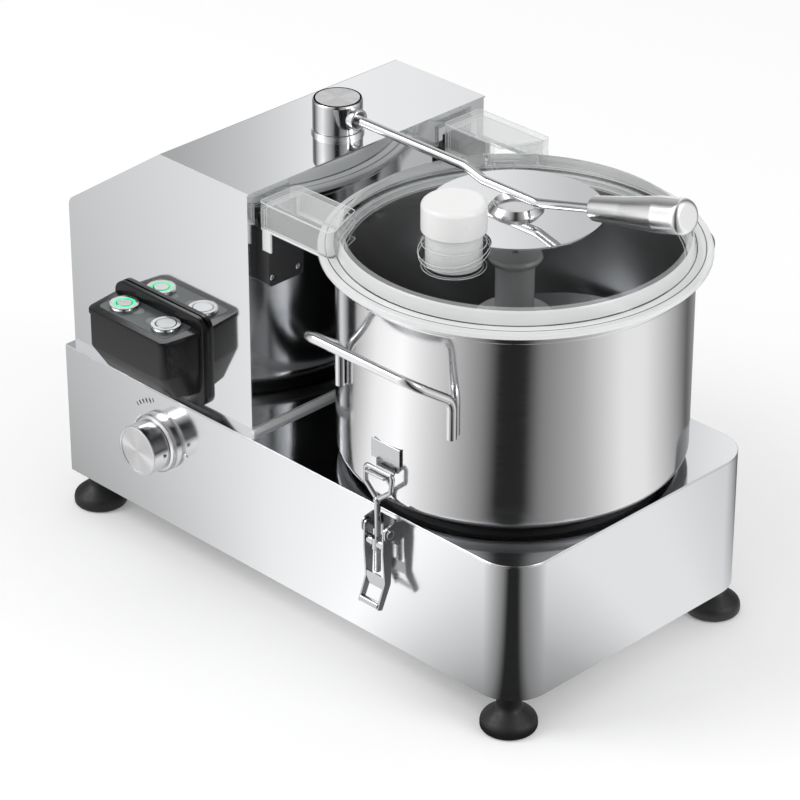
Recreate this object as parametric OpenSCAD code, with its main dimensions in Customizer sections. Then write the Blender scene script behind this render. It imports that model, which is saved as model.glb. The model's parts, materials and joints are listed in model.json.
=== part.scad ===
// Bench food processor: steel base and motor housing, clamped steel bowl, clear lid and swinging lock arm.
// +X runs along the base from the motor housing to the bowl, the controls face -Y, and the feet stand on z = 0.

/* [Base] */
// Length of the base
base_l = 525; // [500:1:560]
// Width of the base
base_w = 278; // [270:1:290]
// Height of the base box
base_h = 122; // [110:1:140]
// Radius of the two upright corners at the bowl end
base_corner_r = 34; // [20:1:50]
// Thickness of the sheet steel
sheet_t = 1.5; // [1:0.1:2]
// Width of the flange that carries the top plate
base_flange_w = 14; // [8:1:20]
// Height of a foot
foot_h = 32; // [26:1:40]
// Diameter of a foot at its sole
foot_d = 46; // [36:1:56]
// Diameter of a foot at its neck
foot_neck_d = 20; // [16:1:26]
// Distance of a foot's centre from the long sides of the base
foot_in_y = 18; // [12:1:40]
// Distance of a foot's centre from the motor end of the base
foot_in_left = 16; // [12:1:40]
// Distance of a foot's centre from the bowl end of the base
foot_in_right = 22; // [12:1:40]
// Diameter of a foot's screw
foot_screw_d = 6; // [5:1:8]

/* [Housing] */
// Length of the motor housing
house_l = 219.5; // [210:0.5:226]
// Height of the motor housing above the base
house_h = 215; // [190:1:240]
// Inset of the housing from the end of the base
house_in_x = 5.5; // [3:0.5:10]
// Inset of the housing from the sides of the base
house_in_y = 6.5; // [3:0.5:12]
// Length of the sloping part of the roof
slope_l = 117; // [90:1:130]
// Drop of the sloping part of the roof
slope_h = 79.5; // [60:0.5:95]
// Length of a cooling slot
vent_l = 46; // [20:1:60]
// Width of a cooling slot
vent_w = 5; // [3:0.5:8]
// Number of cooling slots in a row
vent_count = 8; // [4:1:10]
// Height of the strip along the foot of the bowl-side wall
strip_h = 4; // [3:0.5:6]

/* [Controls] */
// Width of the switch box flange
box_flange_w = 108; // [100:1:116]
// Height of the switch box flange
box_flange_h = 77; // [70:1:84]
// Width of the switch box at the housing
box_w = 102; // [94:1:106]
// Reach of the switch box from the housing
box_reach = 43; // [36:0.5:46]
// Diameter of a push button's bezel
bezel_d = 24; // [22:0.5:26]
// Diameter of a push button's cap
button_d = 17.5; // [14:0.5:18]
// Travel of a push button
button_travel = 1.5; // [1:0.1:2]
// Distance between the two push buttons
button_pitch = 51; // [40:1:56]
// Diameter of the speed knob
knob_d = 44; // [36:1:50]
// Diameter of the ring under the speed knob
knob_ring_d = 51; // [44:1:56]
// Height of the ring under the speed knob
knob_ring_h = 8; // [5:0.5:10]
// Height of the speed knob above its ring
knob_h = 17; // [12:0.5:22]
// Depth of the knob's centre below the top of the base
knob_drop = 47; // [40:1:56]
// Distance of the knob's centre from the end of the base
knob_x = 117; // [90:1:140]

/* [Bowl] */
// Outer radius of the bowl
bowl_r = 141; // [135:1:144]
// Height of the bowl
bowl_h = 172.5; // [160:0.5:185]
// Thickness of the bowl's wall
bowl_t = 1.5; // [1.2:0.1:2]
// Radius between the bowl's wall and floor
bowl_corner_r = 22; // [12:1:30]
// Radius of the rolled rim
rim_r = 3.5; // [2.5:0.5:4]
// Distance of the bowl's axis from the end of the base
bowl_in = 137; // [130:1:142]
// Height of the rubber ring under the bowl
seat_h = 5.5; // [4:0.5:8]
// Thickness of a handle's rod
handle_d = 8; // [6:0.5:10]
// Length of a handle between its legs
handle_l = 118; // [100:1:130]
// Reach of a handle past the side of the base
handle_reach = 37.5; // [30:0.5:40]

/* [Lid] */
// Outer radius of the lid's flange
lid_r = 154; // [150:1:158]
// Thickness of the lid's flange
lid_flange_t = 5; // [4:0.5:7]
// Radius of the lid's upright wall
lid_wall_r = 136; // [133:0.5:137]
// Height of the lid's upright wall above the flange
lid_wall_h = 12.5; // [8:0.5:16]
// Rise of the lid's cone above its wall
lid_cone_h = 15; // [10:0.5:20]
// Thickness of the lid's clear shell
lid_t = 4; // [3:0.5:5]
// Radius of the steel disc
disc_r = 70; // [62:1:80]
// Outer radius of the cup at the disc's centre
cup_r = 22.5; // [18:0.5:26]
// Height of the cup above the disc
cup_h = 5.7; // [4:0.1:7]
// Radius of the feed tube
tube_r = 25; // [20:0.5:27]
// Distance of the feed tube from the lid's axis
tube_off = 76; // [72:1:84]
// Height of the feed tube above the disc
tube_h = 11.5; // [8:0.5:20]
// Height of the white cap above the tube
cap_h = 23.5; // [18:0.5:30]
// Width of one of the lid's two arms
lid_arm_w = 42; // [36:1:46]
// Distance of an arm's middle from the centre line
lid_arm_y = 102.5; // [98:0.5:106]

/* [Lock arm] */
// Radius of the pivot post
post_r = 20.5; // [16:0.5:24]
// Height of the post above the rod's centre
post_over = 12.5; // [10:0.5:16]
// Distance of the post's axis from the housing's wall
post_in = 35.5; // [30:0.5:50]
// Diameter of the rod
rod_d = 8; // [6:0.5:10]
// Step down of the rod over the lid
rod_step = 5.5; // [3:0.5:8]
// Rise angle of the rod's free end
rise_deg = 15; // [8:1:25]
// Length of the rising rod before the grip
rise_l = 60; // [40:1:70]
// Length of the grip
grip_l = 96; // [80:1:110]
// Diameter of the grip's free end
grip_d = 28.5; // [22:0.5:32]
// Gap between the rod and the cup
cup_gap = 2.8; // [2:0.1:5]

/* [Latches] */
// Diameter of a bail's wire
bail_d = 4; // [3:0.5:5]
// Width of a bail
bail_w = 33.5; // [30:0.5:38]
// Radius of the trough that the bail hooks into
hook_r = 4.7; // [4.5:0.1:5.5]
// Thickness of the latch plates
latch_t = 1.5; // [1.2:0.1:2]

/* [Cutter] */
// Radius of the cutter's lower hub
hub_r = 31.5; // [26:0.5:36]
// Radius of the cutter's upper column
column_r = 15.5; // [13:0.5:20]
// Radius of the cutter's mushroom cap
hub_cap_r = 22; // [18:0.5:28]
// Gap between the blade tips and the bowl
blade_gap = 6; // [4:0.5:12]
// Thickness of a blade
blade_t = 2; // [1.5:0.1:3]
// Sweep of a blade's wing
blade_sweep = 95; // [60:5:110]

/* [Drive] */
// Radius of the motor
motor_r = 60; // [50:1:66]
// Height of the motor
motor_h = 130; // [100:1:140]
// Radius of the motor's pulley
small_pulley_r = 28; // [22:1:36]
// Radius of the shaft's pulley
large_pulley_r = 56; // [45:1:64]
// Width of the belt
belt_w = 16; // [12:1:20]
// Radius of the drive shaft
shaft_r = 10; // [9:0.5:11]

/* [Hidden] */
$fn = 64;

// Overlap of straight and bent rod, and how much thicker a bend is
joint_in = 0.2;
bend_swell = 0.03;

// Clearances
moving_gap = 0.3;
running_gap = 0.06;

// Lengths along X from the left end of the base
post_from_end = house_in_x + house_l - post_in;
lid_gap = 5;
bowl_from_end = max(base_l - bowl_in, house_in_x + house_l + lid_gap + lid_r);
rod_lead = 55;
step_run = 20;
rod_low_l = 58;
rod_flat_l = bowl_from_end - post_from_end - rod_lead;
rise_from_post = rod_flat_l + step_run + rod_low_l;
grip_round = 5;
grip_end_in = 0.4;
foot_over = max(0, foot_d / 2 - foot_in_left);
grip_reach = (rise_l + grip_l - grip_round) * cos(rise_deg)
    + (grip_d / 2 - grip_end_in - grip_round) * sin(rise_deg) + grip_round;
overall_l = post_from_end + rise_from_post + grip_reach;

// Places along X
base_x0 = (foot_over - overall_l) / 2;
base_x1 = base_x0 + base_l;
house_x0 = base_x0 + house_in_x;
house_x1 = house_x0 + house_l;
post_x = base_x0 + post_from_end;
bowl_x = base_x0 + bowl_from_end;
motor_x = house_x0 + 104;
knob_px = base_x0 + knob_x;
box_x = house_x0 + 115.5;

// Places along Y
front_y = -base_w / 2;
house_w = base_w - 2 * house_in_y;
house_y = -house_w / 2;
bail_y = -bowl_r - 5;

// Heights
top_z = foot_h + base_h;
house_z1 = top_z + house_h;
seat_z = top_z + seat_h;
bowl_top = seat_z + bowl_h;
gasket_h = 1.5;
flange_z = bowl_top + gasket_h;
flange_top = flange_z + lid_flange_t;
wall_top = flange_top + lid_wall_h;
cone_top = wall_top + lid_cone_h;
disc_t = 1.5;
disc_top = cone_top + disc_t;
cup_top = disc_top + cup_h;
rod_r = rod_d / 2;
rod_low_z = cup_top + cup_gap + rod_r;
ring_h = 3;
collar_r = 9;
post_z0 = house_z1 + ring_h + moving_gap;
rod_z = max(rod_low_z + rod_step, post_z0 + collar_r + moving_gap);
tube_top = disc_top + tube_h;

// Unit vector of v
function unit(v) = v / norm(v);

// Arc that rounds the corner p between the points a and b
function corner(a, p, b, r, n) =
    r <= 0 ? [p] :
    let (u = unit(a - p), w = unit(b - p), half = acos(max(-1, min(1, u * w))) / 2)
    let (c = p + unit(u + w) * r / sin(half), s = p + u * r / tan(half), e = p + w * r / tan(half))
    let (a0 = atan2(s[1] - c[1], s[0] - c[0]), a1 = atan2(e[1] - c[1], e[0] - c[0]))
    let (turn = a1 - a0 > 180 ? a1 - a0 - 360 : a1 - a0 < -180 ? a1 - a0 + 360 : a1 - a0)
    [for (i = [0:n]) c + r * [cos(a0 + turn * i / n), sin(a0 + turn * i / n)]];

function flat(p) = [p[0], p[1]];

// Outline through [x, y, corner radius] points
function rounded(pts, n = 6) =
    let (k = len(pts))
    [for (i = [0:k - 1]) each corner(flat(pts[(i + k - 1) % k]), flat(pts[i]), flat(pts[(i + 1) % k]), pts[i][2], n)];

// Rotation that lays the z axis along w and the x axis along u
module laid(origin, u, w) {
    v = cross(w, u);
    multmatrix([
        [u[0], v[0], w[0], origin[0]],
        [u[1], v[1], w[1], origin[1]],
        [u[2], v[2], w[2], origin[2]],
        [0, 0, 0, 1]
    ]) children();
}

function across(w) = unit(abs(w[2]) < 0.9 ? cross([0, 0, 1], w) : cross([1, 0, 0], w));

// Straight rod from a to b
module straight(a, b, r) {
    laid(a, across(unit(b - a)), unit(b - a)) cylinder(r = r, h = norm(b - a));
}

// Round rod along pts with bends of radius bend_r
module bent_rod(pts, r, bend_r) {
    last = len(pts) - 1;
    cut = [for (i = [0:last]) i == 0 || i == last ? 0 :
        bend_r * tan(acos(unit(pts[i] - pts[i - 1]) * unit(pts[i + 1] - pts[i])) / 2)];
    for (i = [0:last - 1]) {
        way = unit(pts[i + 1] - pts[i]);
        from = pts[i] + way * (i == 0 ? 0 : cut[i] - joint_in);
        to = pts[i + 1] - way * (i == last - 1 ? 0 : cut[i + 1] - joint_in);
        straight(from, to, r);
    }
    for (i = [1:last - 1]) {
        into = unit(pts[i] - pts[i - 1]);
        out = unit(pts[i + 1] - pts[i]);
        axis = unit(cross(into, out));
        side = cross(axis, into);
        hub = pts[i] - into * cut[i] + side * bend_r;
        laid(hub, -side, axis)
            rotate_extrude(angle = acos(into * out))
                translate([bend_r, 0])
                    circle(r = r + bend_swell);
    }
}

// Mirrors a front piece to the back
module back_too() {
    children();
    mirror([0, 1, 0]) children();
}

// Base

module base_outline(inset = 0) {
    r = base_corner_r - inset;
    x1 = base_x1 - base_corner_r;
    y1 = base_w / 2 - base_corner_r;
    union() {
        translate([base_x0 + inset, front_y + inset])
            square([base_l - base_corner_r - inset, base_w - 2 * inset]);
        translate([base_x0 + inset, -y1])
            square([base_l - 2 * inset, 2 * y1]);
        for (y = [-y1, y1])
            translate([x1, y]) circle(r = r);
    }
}

module at_feet() {
    for (x = [base_x0 + foot_in_left, base_x1 - foot_in_right])
        for (y = [front_y + foot_in_y, -front_y - foot_in_y])
            translate([x, y, 0]) children();
}

rivet_r = 2.7;
rivet_from_knob = 32.8;

module base_shell() {
    color("gainsboro")
        translate([knob_px + rivet_from_knob, front_y, top_z - knob_drop - 1.6])
            rotate([90, 0, 0])
                rotate_extrude()
                    polygon(rounded([[0, -1, 0], [rivet_r, -1, 0], [rivet_r, 1.4, 1.2], [0, 1.4, 0]], 4));
    color("gainsboro")
        difference() {
            translate([0, 0, foot_h])
                linear_extrude(base_h - sheet_t) base_outline();
            translate([0, 0, foot_h - 1])
                linear_extrude(base_h - 2 * sheet_t + 1) base_outline(sheet_t);
            translate([0, 0, top_z - 3 * sheet_t])
                linear_extrude(3 * sheet_t) base_outline(base_flange_w);
            translate([knob_px, front_y - 1, top_z - knob_drop])
                rotate([-90, 0, 0]) cylinder(r = pot_thread_r, h = sheet_t + 2);
            translate([gland_x, -front_y - sheet_t - 1, gland_z])
                rotate([-90, 0, 0]) cylinder(r = gland_thread_r, h = sheet_t + 2);
        }
}

module base_top_plate() {
    color("whitesmoke")
        difference() {
            translate([0, 0, top_z - sheet_t])
                linear_extrude(sheet_t) base_outline();
            translate([bowl_x, 0, top_z - sheet_t - 1]) cylinder(r = spigot_r, h = sheet_t + 2);
            translate([motor_x, 0, top_z - sheet_t - 1]) cylinder(r = motor_spigot_r, h = sheet_t + 2);
            translate([house_x1 - post_in, 0, top_z - sheet_t - 1]) cylinder(r = 12, h = sheet_t + 2);
        }
}

cover_t = 1.2;
cover_z = foot_h;

module bottom_cover() {
    color("silver")
        difference() {
            translate([0, 0, cover_z])
                linear_extrude(cover_t) base_outline(sheet_t + moving_gap);
            at_feet() cylinder(r = foot_screw_d / 2, h = foot_h + 2 * cover_t);
            for (x = [motor_x, bowl_x])
                for (i = [0:vent_count - 1])
                    translate([x + (i - (vent_count - 1) / 2) * 2 * vent_w, 0, cover_z - 1])
                        slot(vent_l, vent_w, cover_t + 2);
        }
}

// Upright slot through a flat plate, long along Y
module slot(l, w, h) {
    translate([-w / 2, -(l - w) / 2, 0]) cube([w, l - w, h]);
    for (y = [-(l - w) / 2, (l - w) / 2])
        translate([0, y, 0]) cylinder(r = w / 2, h = h);
}

module feet() {
    r1 = foot_d / 2;
    rn = foot_neck_d / 2;
    bore = foot_screw_d / 2;
    color("black")
        at_feet()
            rotate_extrude()
                polygon(rounded([
                    [bore, foot_h, 0], [rn, foot_h, 0], [rn, foot_h * 0.62, 6], [r1, foot_h * 0.28, 8],
                    [r1, 0, 3], [rn, 0, 0], [rn, sole_recess, 0], [bore, sole_recess, 0]
                ]));
}

sole_recess = 6;

module foot_screws() {
    color("silver")
        at_feet() {
            translate([0, 0, sole_recess - 3.5]) cylinder(r = foot_screw_d, h = 3.5);
            translate([0, 0, sole_recess]) cylinder(r = foot_screw_d / 2, h = foot_h - sole_recess + cover_t);
            translate([0, 0, foot_h + cover_t]) cylinder(r = foot_screw_d, h = 5, $fn = 6);
        }
}

// Motor housing

// Side profile of the housing, moved in by t
function house_profile(t, foot, end) =
    let (a = atan2(slope_h, slope_l), shoulder = house_h - slope_h)
    let (z1 = shoulder + t * tan(a) - t / cos(a), x2 = (house_h - t - shoulder + t / cos(a)) / tan(a))
    rounded([
        [t, foot, 0], [end, foot, 0], [end, house_h - t, 0],
        [x2, house_h - t, max(0, 3 - t)], [t, z1, max(1, 10 - t)]
    ]);

lip_out = 1.5;

module housing_cover() {
    color("gainsboro")
        difference() {
            translate([house_x0, 0, top_z])
                rotate([90, 0, 0])
                    linear_extrude(house_w, center = true)
                        polygon(house_profile(0, 0, house_l));
            translate([house_x0, 0, top_z])
                rotate([90, 0, 0])
                    linear_extrude(house_w - 2 * sheet_t, center = true)
                        polygon(house_profile(sheet_t, -1, house_l + 1));
            translate([post_x, 0, house_z1 - 5]) cylinder(r = bush_r, h = 10);
            box_cut();
            for (i = [0:vent_count - 1])
                translate([motor_x + (i - (vent_count - 1) / 2) * 2.4 * vent_w, -house_y - sheet_t - 1, top_z + 62])
                    rotate([-90, 0, 0])
                        slot(vent_l, vent_w, sheet_t + 2);
        }
    color("silver")
        translate([house_x1 - lip_out, house_y, house_z1 - lip_out])
            cube([2 * lip_out, house_w, lip_out]);
}

module housing_wall() {
    color("lightgray")
        difference() {
            translate([house_x1 - sheet_t, house_y + sheet_t, top_z])
                cube([sheet_t, house_w - 2 * sheet_t, house_h - sheet_t]);
            at_bracket_screws()
                translate([-5, 0, 0]) rotate([0, 90, 0]) cylinder(r = bracket_screw_d / 2, h = 10);
        }
}

module wall_strip() {
    color("white")
        translate([house_x1, house_y, top_z]) cube([2.5, house_w, strip_h]);
}

gland_x = base_x0 + 60;
gland_z = foot_h + 40;
gland_thread_r = 8;

// Cable inlet in the back wall
module cable_gland() {
    color("black")
        translate([gland_x, -front_y, gland_z])
            rotate([-90, 0, 0])
                difference() {
                    union() {
                        translate([0, 0, -sheet_t - 8]) cylinder(r = gland_thread_r, h = sheet_t + 8);
                        translate([0, 0, -sheet_t - 5]) cylinder(r = 12, h = 5, $fn = 6);
                        cylinder(r = 12.5, h = 5, $fn = 6);
                        translate([0, 0, 5]) cylinder(r1 = 11, r2 = 8, h = 12);
                    }
                    translate([0, 0, -20]) cylinder(r = 4, h = 40);
                }
}

// Switch box and its two push buttons

box_top = top_z + 76.5;
box_flange_t = 6;
box_flange_z0 = top_z + 5;
gasket_t = 1;
box_front = house_y - box_reach;
box_step_z = top_z + 47;
box_foot_z = top_z + 10;
panel_t = 1.5;
panel_w = 83;
panel_l = 31;
panel_y = house_y - 20;
box_wall = 2.5;
button_y = panel_y;

module box_cut() {
    translate([box_x - 25, house_y - 1, top_z + 25]) cube([50, sheet_t + 2, 35]);
}

// Body of the switch box, its sides moved in by t
module box_body(t) {
    w0 = box_w / 2 - t;
    w1 = w0 - 6;
    w2 = w0 - 9;
    thin = 0.01;
    hull() {
        translate([box_x - w0, house_y - thin, box_foot_z + t]) cube([2 * w0, thin, box_top - box_foot_z - t - thin]);
        translate([box_x - w1, box_front + t, box_step_z]) cube([2 * w1, thin, box_top - box_step_z]);
        translate([box_x - w2, house_y - box_reach * 0.4 + t, box_foot_z + t]) cube([2 * w2, thin, thin]);
    }
}

module box_flange(t, grow = 0) {
    w = box_flange_w / 2 + grow;
    z1 = box_flange_h + grow;
    rotate([90, 0, 0])
        linear_extrude(t)
            polygon(rounded([[-w, -grow, 10], [w, -grow, 10], [w, z1, 8], [-w, z1, 8]]));
}

module switch_gasket() {
    color("dimgray")
        difference() {
            translate([box_x, house_y, box_flange_z0]) box_flange(gasket_t);
            translate([box_x - 30, house_y - 5, top_z + 20]) cube([60, 10, 45]);
        }
}

module switch_box() {
    lip = 1.5;
    color("black")
        difference() {
            union() {
                translate([0, -gasket_t, 0]) box_body(0);
                translate([box_x, house_y - gasket_t, box_flange_z0]) box_flange(box_flange_t - gasket_t);
                hull() {
                    translate([box_x - box_w / 2 - lip, house_y - gasket_t - 0.01, box_top - 3])
                        cube([box_w + 2 * lip, 0.01, 3]);
                    translate([box_x - box_w / 2 + 6 - lip, box_front - gasket_t, box_top - 3])
                        cube([box_w - 12 + 2 * lip, 0.01, 3]);
                }
            }
            translate([0, 5, 0]) difference() {
                box_body(box_wall);
                translate([box_x - 100, house_y - 100, box_top - 6]) cube([200, 200, 20]);
            }
            translate([box_x - panel_w / 2, panel_y - panel_l / 2, box_top - panel_t])
                cube([panel_w, panel_l, panel_t + 1]);
            at_buttons() translate([0, 0, -20]) cylinder(r = bezel_thread_r, h = 40);
        }
}

module switch_panel() {
    color("slategray")
        difference() {
            translate([box_x - panel_w / 2, panel_y - panel_l / 2, box_top - panel_t])
                cube([panel_w, panel_l, panel_t]);
            at_buttons() translate([0, 0, -5]) cylinder(r = bezel_thread_r, h = 10);
        }
}

bezel_thread_r = 10.5;
bezel_h = 3;
button_stem_r = 5;
button_top = 3.4;

module at_button(side) {
    translate([box_x + side * button_pitch / 2, button_y, box_top]) children();
}

module at_buttons() {
    for (side = [-1, 1]) at_button(side) children();
}

// Threaded metal body of a push button
module bezel_body() {
    r = button_d / 2 + moving_gap;
    rotate_extrude()
        polygon(rounded([
            [r, bezel_h, 0], [bezel_d / 2 - 3, bezel_h, 1], [bezel_d / 2, 0.8, 0.4], [bezel_d / 2, 0, 0],
            [bezel_thread_r, 0, 0], [bezel_thread_r, -14, 0], [button_stem_r + moving_gap, -14, 0],
            [button_stem_r + moving_gap, -6, 0], [r, -6, 0]
        ], 3));
}

module button_body(r, stem) {
    rotate_extrude()
        polygon(rounded([
            [0, button_top, 0], [r, button_top, 1], [r, -6 + button_travel + moving_gap, 0],
            [stem, -6 + button_travel + moving_gap, 0], [stem, -16, 0], [0, -16, 0]
        ], 4));
}

module button_bezels() {
    color("silver") at_buttons() bezel_body();
}

light_ring_w = 1.6;

module start_light_ring() {
    color("lime")
        at_button(-1)
            difference() {
                translate([0, 0, -2]) cylinder(r = button_d / 2 + moving_gap, h = 2 + bezel_h);
                translate([0, 0, -3]) cylinder(r = button_d / 2 - light_ring_w, h = 10);
            }
}

module start_button() {
    color("silver") at_button(-1) button_body(button_d / 2 - light_ring_w - moving_gap, button_stem_r);
}

module stop_button() {
    color("silver") at_button(1) button_body(button_d / 2, button_stem_r);
}

// Speed knob

pot_thread_r = 4.5;
pot_shaft_r = 3;
knob_face_y = front_y - knob_ring_h - knob_h;

module at_knob() {
    translate([knob_px, front_y, top_z - knob_drop]) rotate([90, 0, 0]) children();
}

module dial_ring() {
    color("silver")
        at_knob()
            difference() {
                rotate_extrude()
                    polygon(rounded([
                        [pot_thread_r, 0, 0], [knob_ring_d / 2, 0, 0], [knob_ring_d / 2, knob_ring_h - 2, 1],
                        [knob_ring_d / 2 - 2.5, knob_ring_h - 0.5, 0.5], [pot_thread_r, knob_ring_h - 0.5, 0]
                    ], 3));
            }
}

module speed_knob() {
    color("lightgray")
        at_knob()
            difference() {
                translate([0, 0, knob_ring_h])
                    rotate_extrude()
                        polygon(rounded([[0, 0, 0], [knob_d / 2, 0, 0], [knob_d / 2, knob_h, 1.2], [0, knob_h, 0]], 3));
                translate([0, 0, knob_ring_h + knob_h - 0.5]) cylinder(r = knob_d / 2 - 3, h = 2);
                translate([0, 0, knob_ring_h - 1]) cylinder(r = pot_shaft_r, h = 11);
                at_set_screw() translate([0, 0, -2]) cylinder(r = 2, h = 30);
            }
}

module at_set_screw() {
    translate([0, 0, knob_ring_h + 5]) rotate([0, 90, 0]) translate([0, 0, pot_shaft_r]) children();
}

module knob_set_screw() {
    color("dimgray")
        at_knob() at_set_screw()
            difference() {
                translate([0, 0, 0.3]) cylinder(r = 2, h = knob_d / 2 - pot_shaft_r - 1.3);
                translate([0, 0, knob_d / 2 - pot_shaft_r - 3]) cylinder(r = 1.1, h = 5, $fn = 6);
            }
}

module potentiometer() {
    color("dimgray")
        at_knob() {
            cylinder(r = pot_shaft_r - running_gap, h = knob_ring_h + 10);
            translate([0, 0, -sheet_t]) cylinder(r = pot_thread_r, h = sheet_t + knob_ring_h - 2);
            translate([0, 0, -sheet_t - 12]) cylinder(r = 12, h = 12);
        }
}

module control_board() {
    board_x = house_x0 + sheet_t + 6;
    color("green")
        translate([board_x, -60, top_z + 20]) cube([2, 120, 90]);
    color("silver") {
        for (y = [-52, 52])
            for (z = [28, 102])
                translate([house_x0 + sheet_t, y, top_z + z]) rotate([0, 90, 0]) cylinder(r = 4, h = 6);
        translate([board_x + 2, -30, top_z + 30]) cube([20, 45, 60]);
        for (y = [25, 42])
            translate([board_x + 2, y, top_z + 45]) rotate([0, 90, 0]) cylinder(r = 7, h = 18);
    }
}

// Bowl, its rubber ring and its welded parts

floor_out_r = bowl_r - bowl_corner_r;
spigot_r = 30;
tube_in_r = 13;
tube_top_z = seat_z + 70;

module bowl_seat_ring() {
    color("black")
        translate([bowl_x, 0, top_z])
            rotate_extrude()
                polygon(rounded([
                    [floor_out_r - 32, 0, 0], [floor_out_r + 2, 0, 1], [floor_out_r - 1, seat_h, 1],
                    [floor_out_r - 32, seat_h, 0]
                ], 3));
}

module bowl() {
    t = bowl_t;
    color("silver")
        translate([bowl_x, 0, seat_z])
            rotate_extrude()
                polygon(rounded([
                    [tube_in_r, 0, 3], [bowl_r, 0, bowl_corner_r], [bowl_r, bowl_h - 2 * rim_r, 0.8],
                    [bowl_r + 2 * rim_r - t, bowl_h - 2 * rim_r, rim_r - 0.6],
                    [bowl_r + 2 * rim_r - t, bowl_h, rim_r - 0.8],
                    [bowl_r - t, bowl_h, 1.2], [bowl_r - t, t, bowl_corner_r - t], [tube_in_r + t, t, 3],
                    [tube_in_r + t, tube_top_z - seat_z, 0], [tube_in_r, tube_top_z - seat_z, 0]
                ], 8));
}

module bowl_handles() {
    r = handle_d / 2;
    out = bowl_r + r;
    bar_h = bowl_top - top_z - 31;
    a = asin(handle_l / 2 / bowl_r);
    x = out * sin(a);
    y = -out * cos(a);
    color("silver")
        back_too()
            translate([bowl_x, 0, top_z])
                bent_rod([
                    [-x, y, bar_h - 61], [-x, y, bar_h - 28], [-handle_l / 2 + 1, front_y - handle_reach + r, bar_h],
                    [handle_l / 2 - 1, front_y - handle_reach + r, bar_h], [x, y, bar_h - 28], [x, y, bar_h - 61]
                ], r, 14);
}

// Latches: keeper, bracket, rivets, lever, bail and barrel nut

latch_x = bowl_x;
hook_out = 8;
pivot_y = min(front_y - 12, -bowl_r - hook_out - 2);
pivot_z = top_z - 10.7;
crank = 12.7;
trunnion_z = pivot_z - crank;
hook_bar_y = -bowl_r - hook_out;
hook_bar_z = top_z + 40.5;
bail_r = bail_d / 2;
ear_in = 11.8;
latch_pin_r = 2.2;
lever_in = 9.6;
nut_r = 4.6;

module latch_keepers() {
    w = 10;
    plate_w = 31;
    lip_z = hook_bar_z - 1.2;
    sole = hook_bar_z - bail_r - moving_gap;
    lip_y = hook_bar_y - bail_r - 2.6;
    wall_y = -bowl_r;
    color("silver")
        back_too() {
            translate([latch_x - plate_w / 2, wall_y - latch_t, top_z + 45]) cube([plate_w, latch_t, 16]);
            translate([latch_x + w, 0, 0])
                rotate([0, -90, 0])
                    linear_extrude(2 * w)
                        polygon(rounded([
                            [top_z + 61, wall_y, 0], [sole - latch_t, wall_y, 2.5],
                            [sole - latch_t, lip_y - latch_t, 2.2], [lip_z, lip_y - latch_t, 0.4],
                            [lip_z, lip_y, 0.2], [sole, lip_y, 0.8], [sole, wall_y - latch_t, 1],
                            [top_z + 61, wall_y - latch_t, 0]
                        ], 4));
        }
}

module latch_brackets() {
    z0 = top_z - 26;
    z1 = top_z - 3;
    color("silver")
        back_too() {
            translate([latch_x - ear_in, front_y - latch_t, z0]) cube([2 * ear_in, latch_t, z1 - z0]);
            for (side = [-1, 1])
                translate([latch_x + side * (ear_in + latch_t / 2) - latch_t / 2, 0, 0])
                    rotate([90, 0, 90])
                        linear_extrude(latch_t)
                            difference() {
                                polygon(rounded([
                                    [front_y, z1, 0], [front_y, z0 + 6, 0], [pivot_y - 5, z0 + 9, 5],
                                    [pivot_y - 5, z1 - 2, 6], [front_y - 6, z1, 3]
                                ]));
                                translate([pivot_y, pivot_z]) circle(r = latch_pin_r);
                            }
        }
}

module latch_rivets() {
    color("silver")
        back_too() {
            for (side = [-1, 1])
                translate([latch_x + side * lever_in, pivot_y, pivot_z])
                    rotate([0, side * 90, 0]) cylinder(r = latch_pin_r, h = ear_in + latch_t - lever_in);
            for (side = [-1, 1])
                translate([latch_x + side * (ear_in + latch_t), pivot_y, pivot_z])
                    rotate([0, side * 90, 0])
                        rotate_extrude()
                            polygon(rounded([[0, 0, 0], [latch_pin_r + 1.6, 0, 0], [latch_pin_r + 1.6, 1.8, 1], [0, 1.8, 0]], 3));
        }
}

// Lever with two arms, a web and the bent cross bar
module latch_lever() {
    low = top_z - 56;
    bar_z = top_z - 74.6;
    bar_y = pivot_y - 8;
    t = latch_t;
    arm_y = pivot_y + 0.5;
    difference() {
        union() {
            for (side = [-1, 1])
                translate([latch_x + side * (lever_in + t / 2) - t / 2, 0, 0])
                    rotate([90, 0, 90])
                        linear_extrude(t)
                            polygon(rounded([
                                [pivot_y + 4.5, pivot_z + 4.5, 3], [pivot_y - 4.5, pivot_z + 4.5, 4],
                                [pivot_y - 5, trunnion_z - 5, 4], [arm_y - 3.5, low, 8], [bar_y - 3, bar_z - 2, 1],
                                [bar_y + 2, bar_z - 4, 1], [arm_y + 3, low - 2, 8], [pivot_y + 5, trunnion_z - 5, 4]
                            ]));
            translate([latch_x - lever_in, bar_y, bar_z])
                rotate([0, 90, 0]) cylinder(r = 3, h = 2 * lever_in);
            translate([latch_x - lever_in, arm_y - 3.5, low - 6])
                cube([2 * lever_in, t, 11]);
        }
        translate([latch_x - 20, pivot_y, pivot_z])
            rotate([0, 90, 0]) cylinder(r = latch_pin_r + running_gap, h = 40);
        translate([latch_x - 20, pivot_y, trunnion_z])
            rotate([0, 90, 0]) cylinder(r = latch_pin_r + running_gap, h = 40);
    }
}

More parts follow.
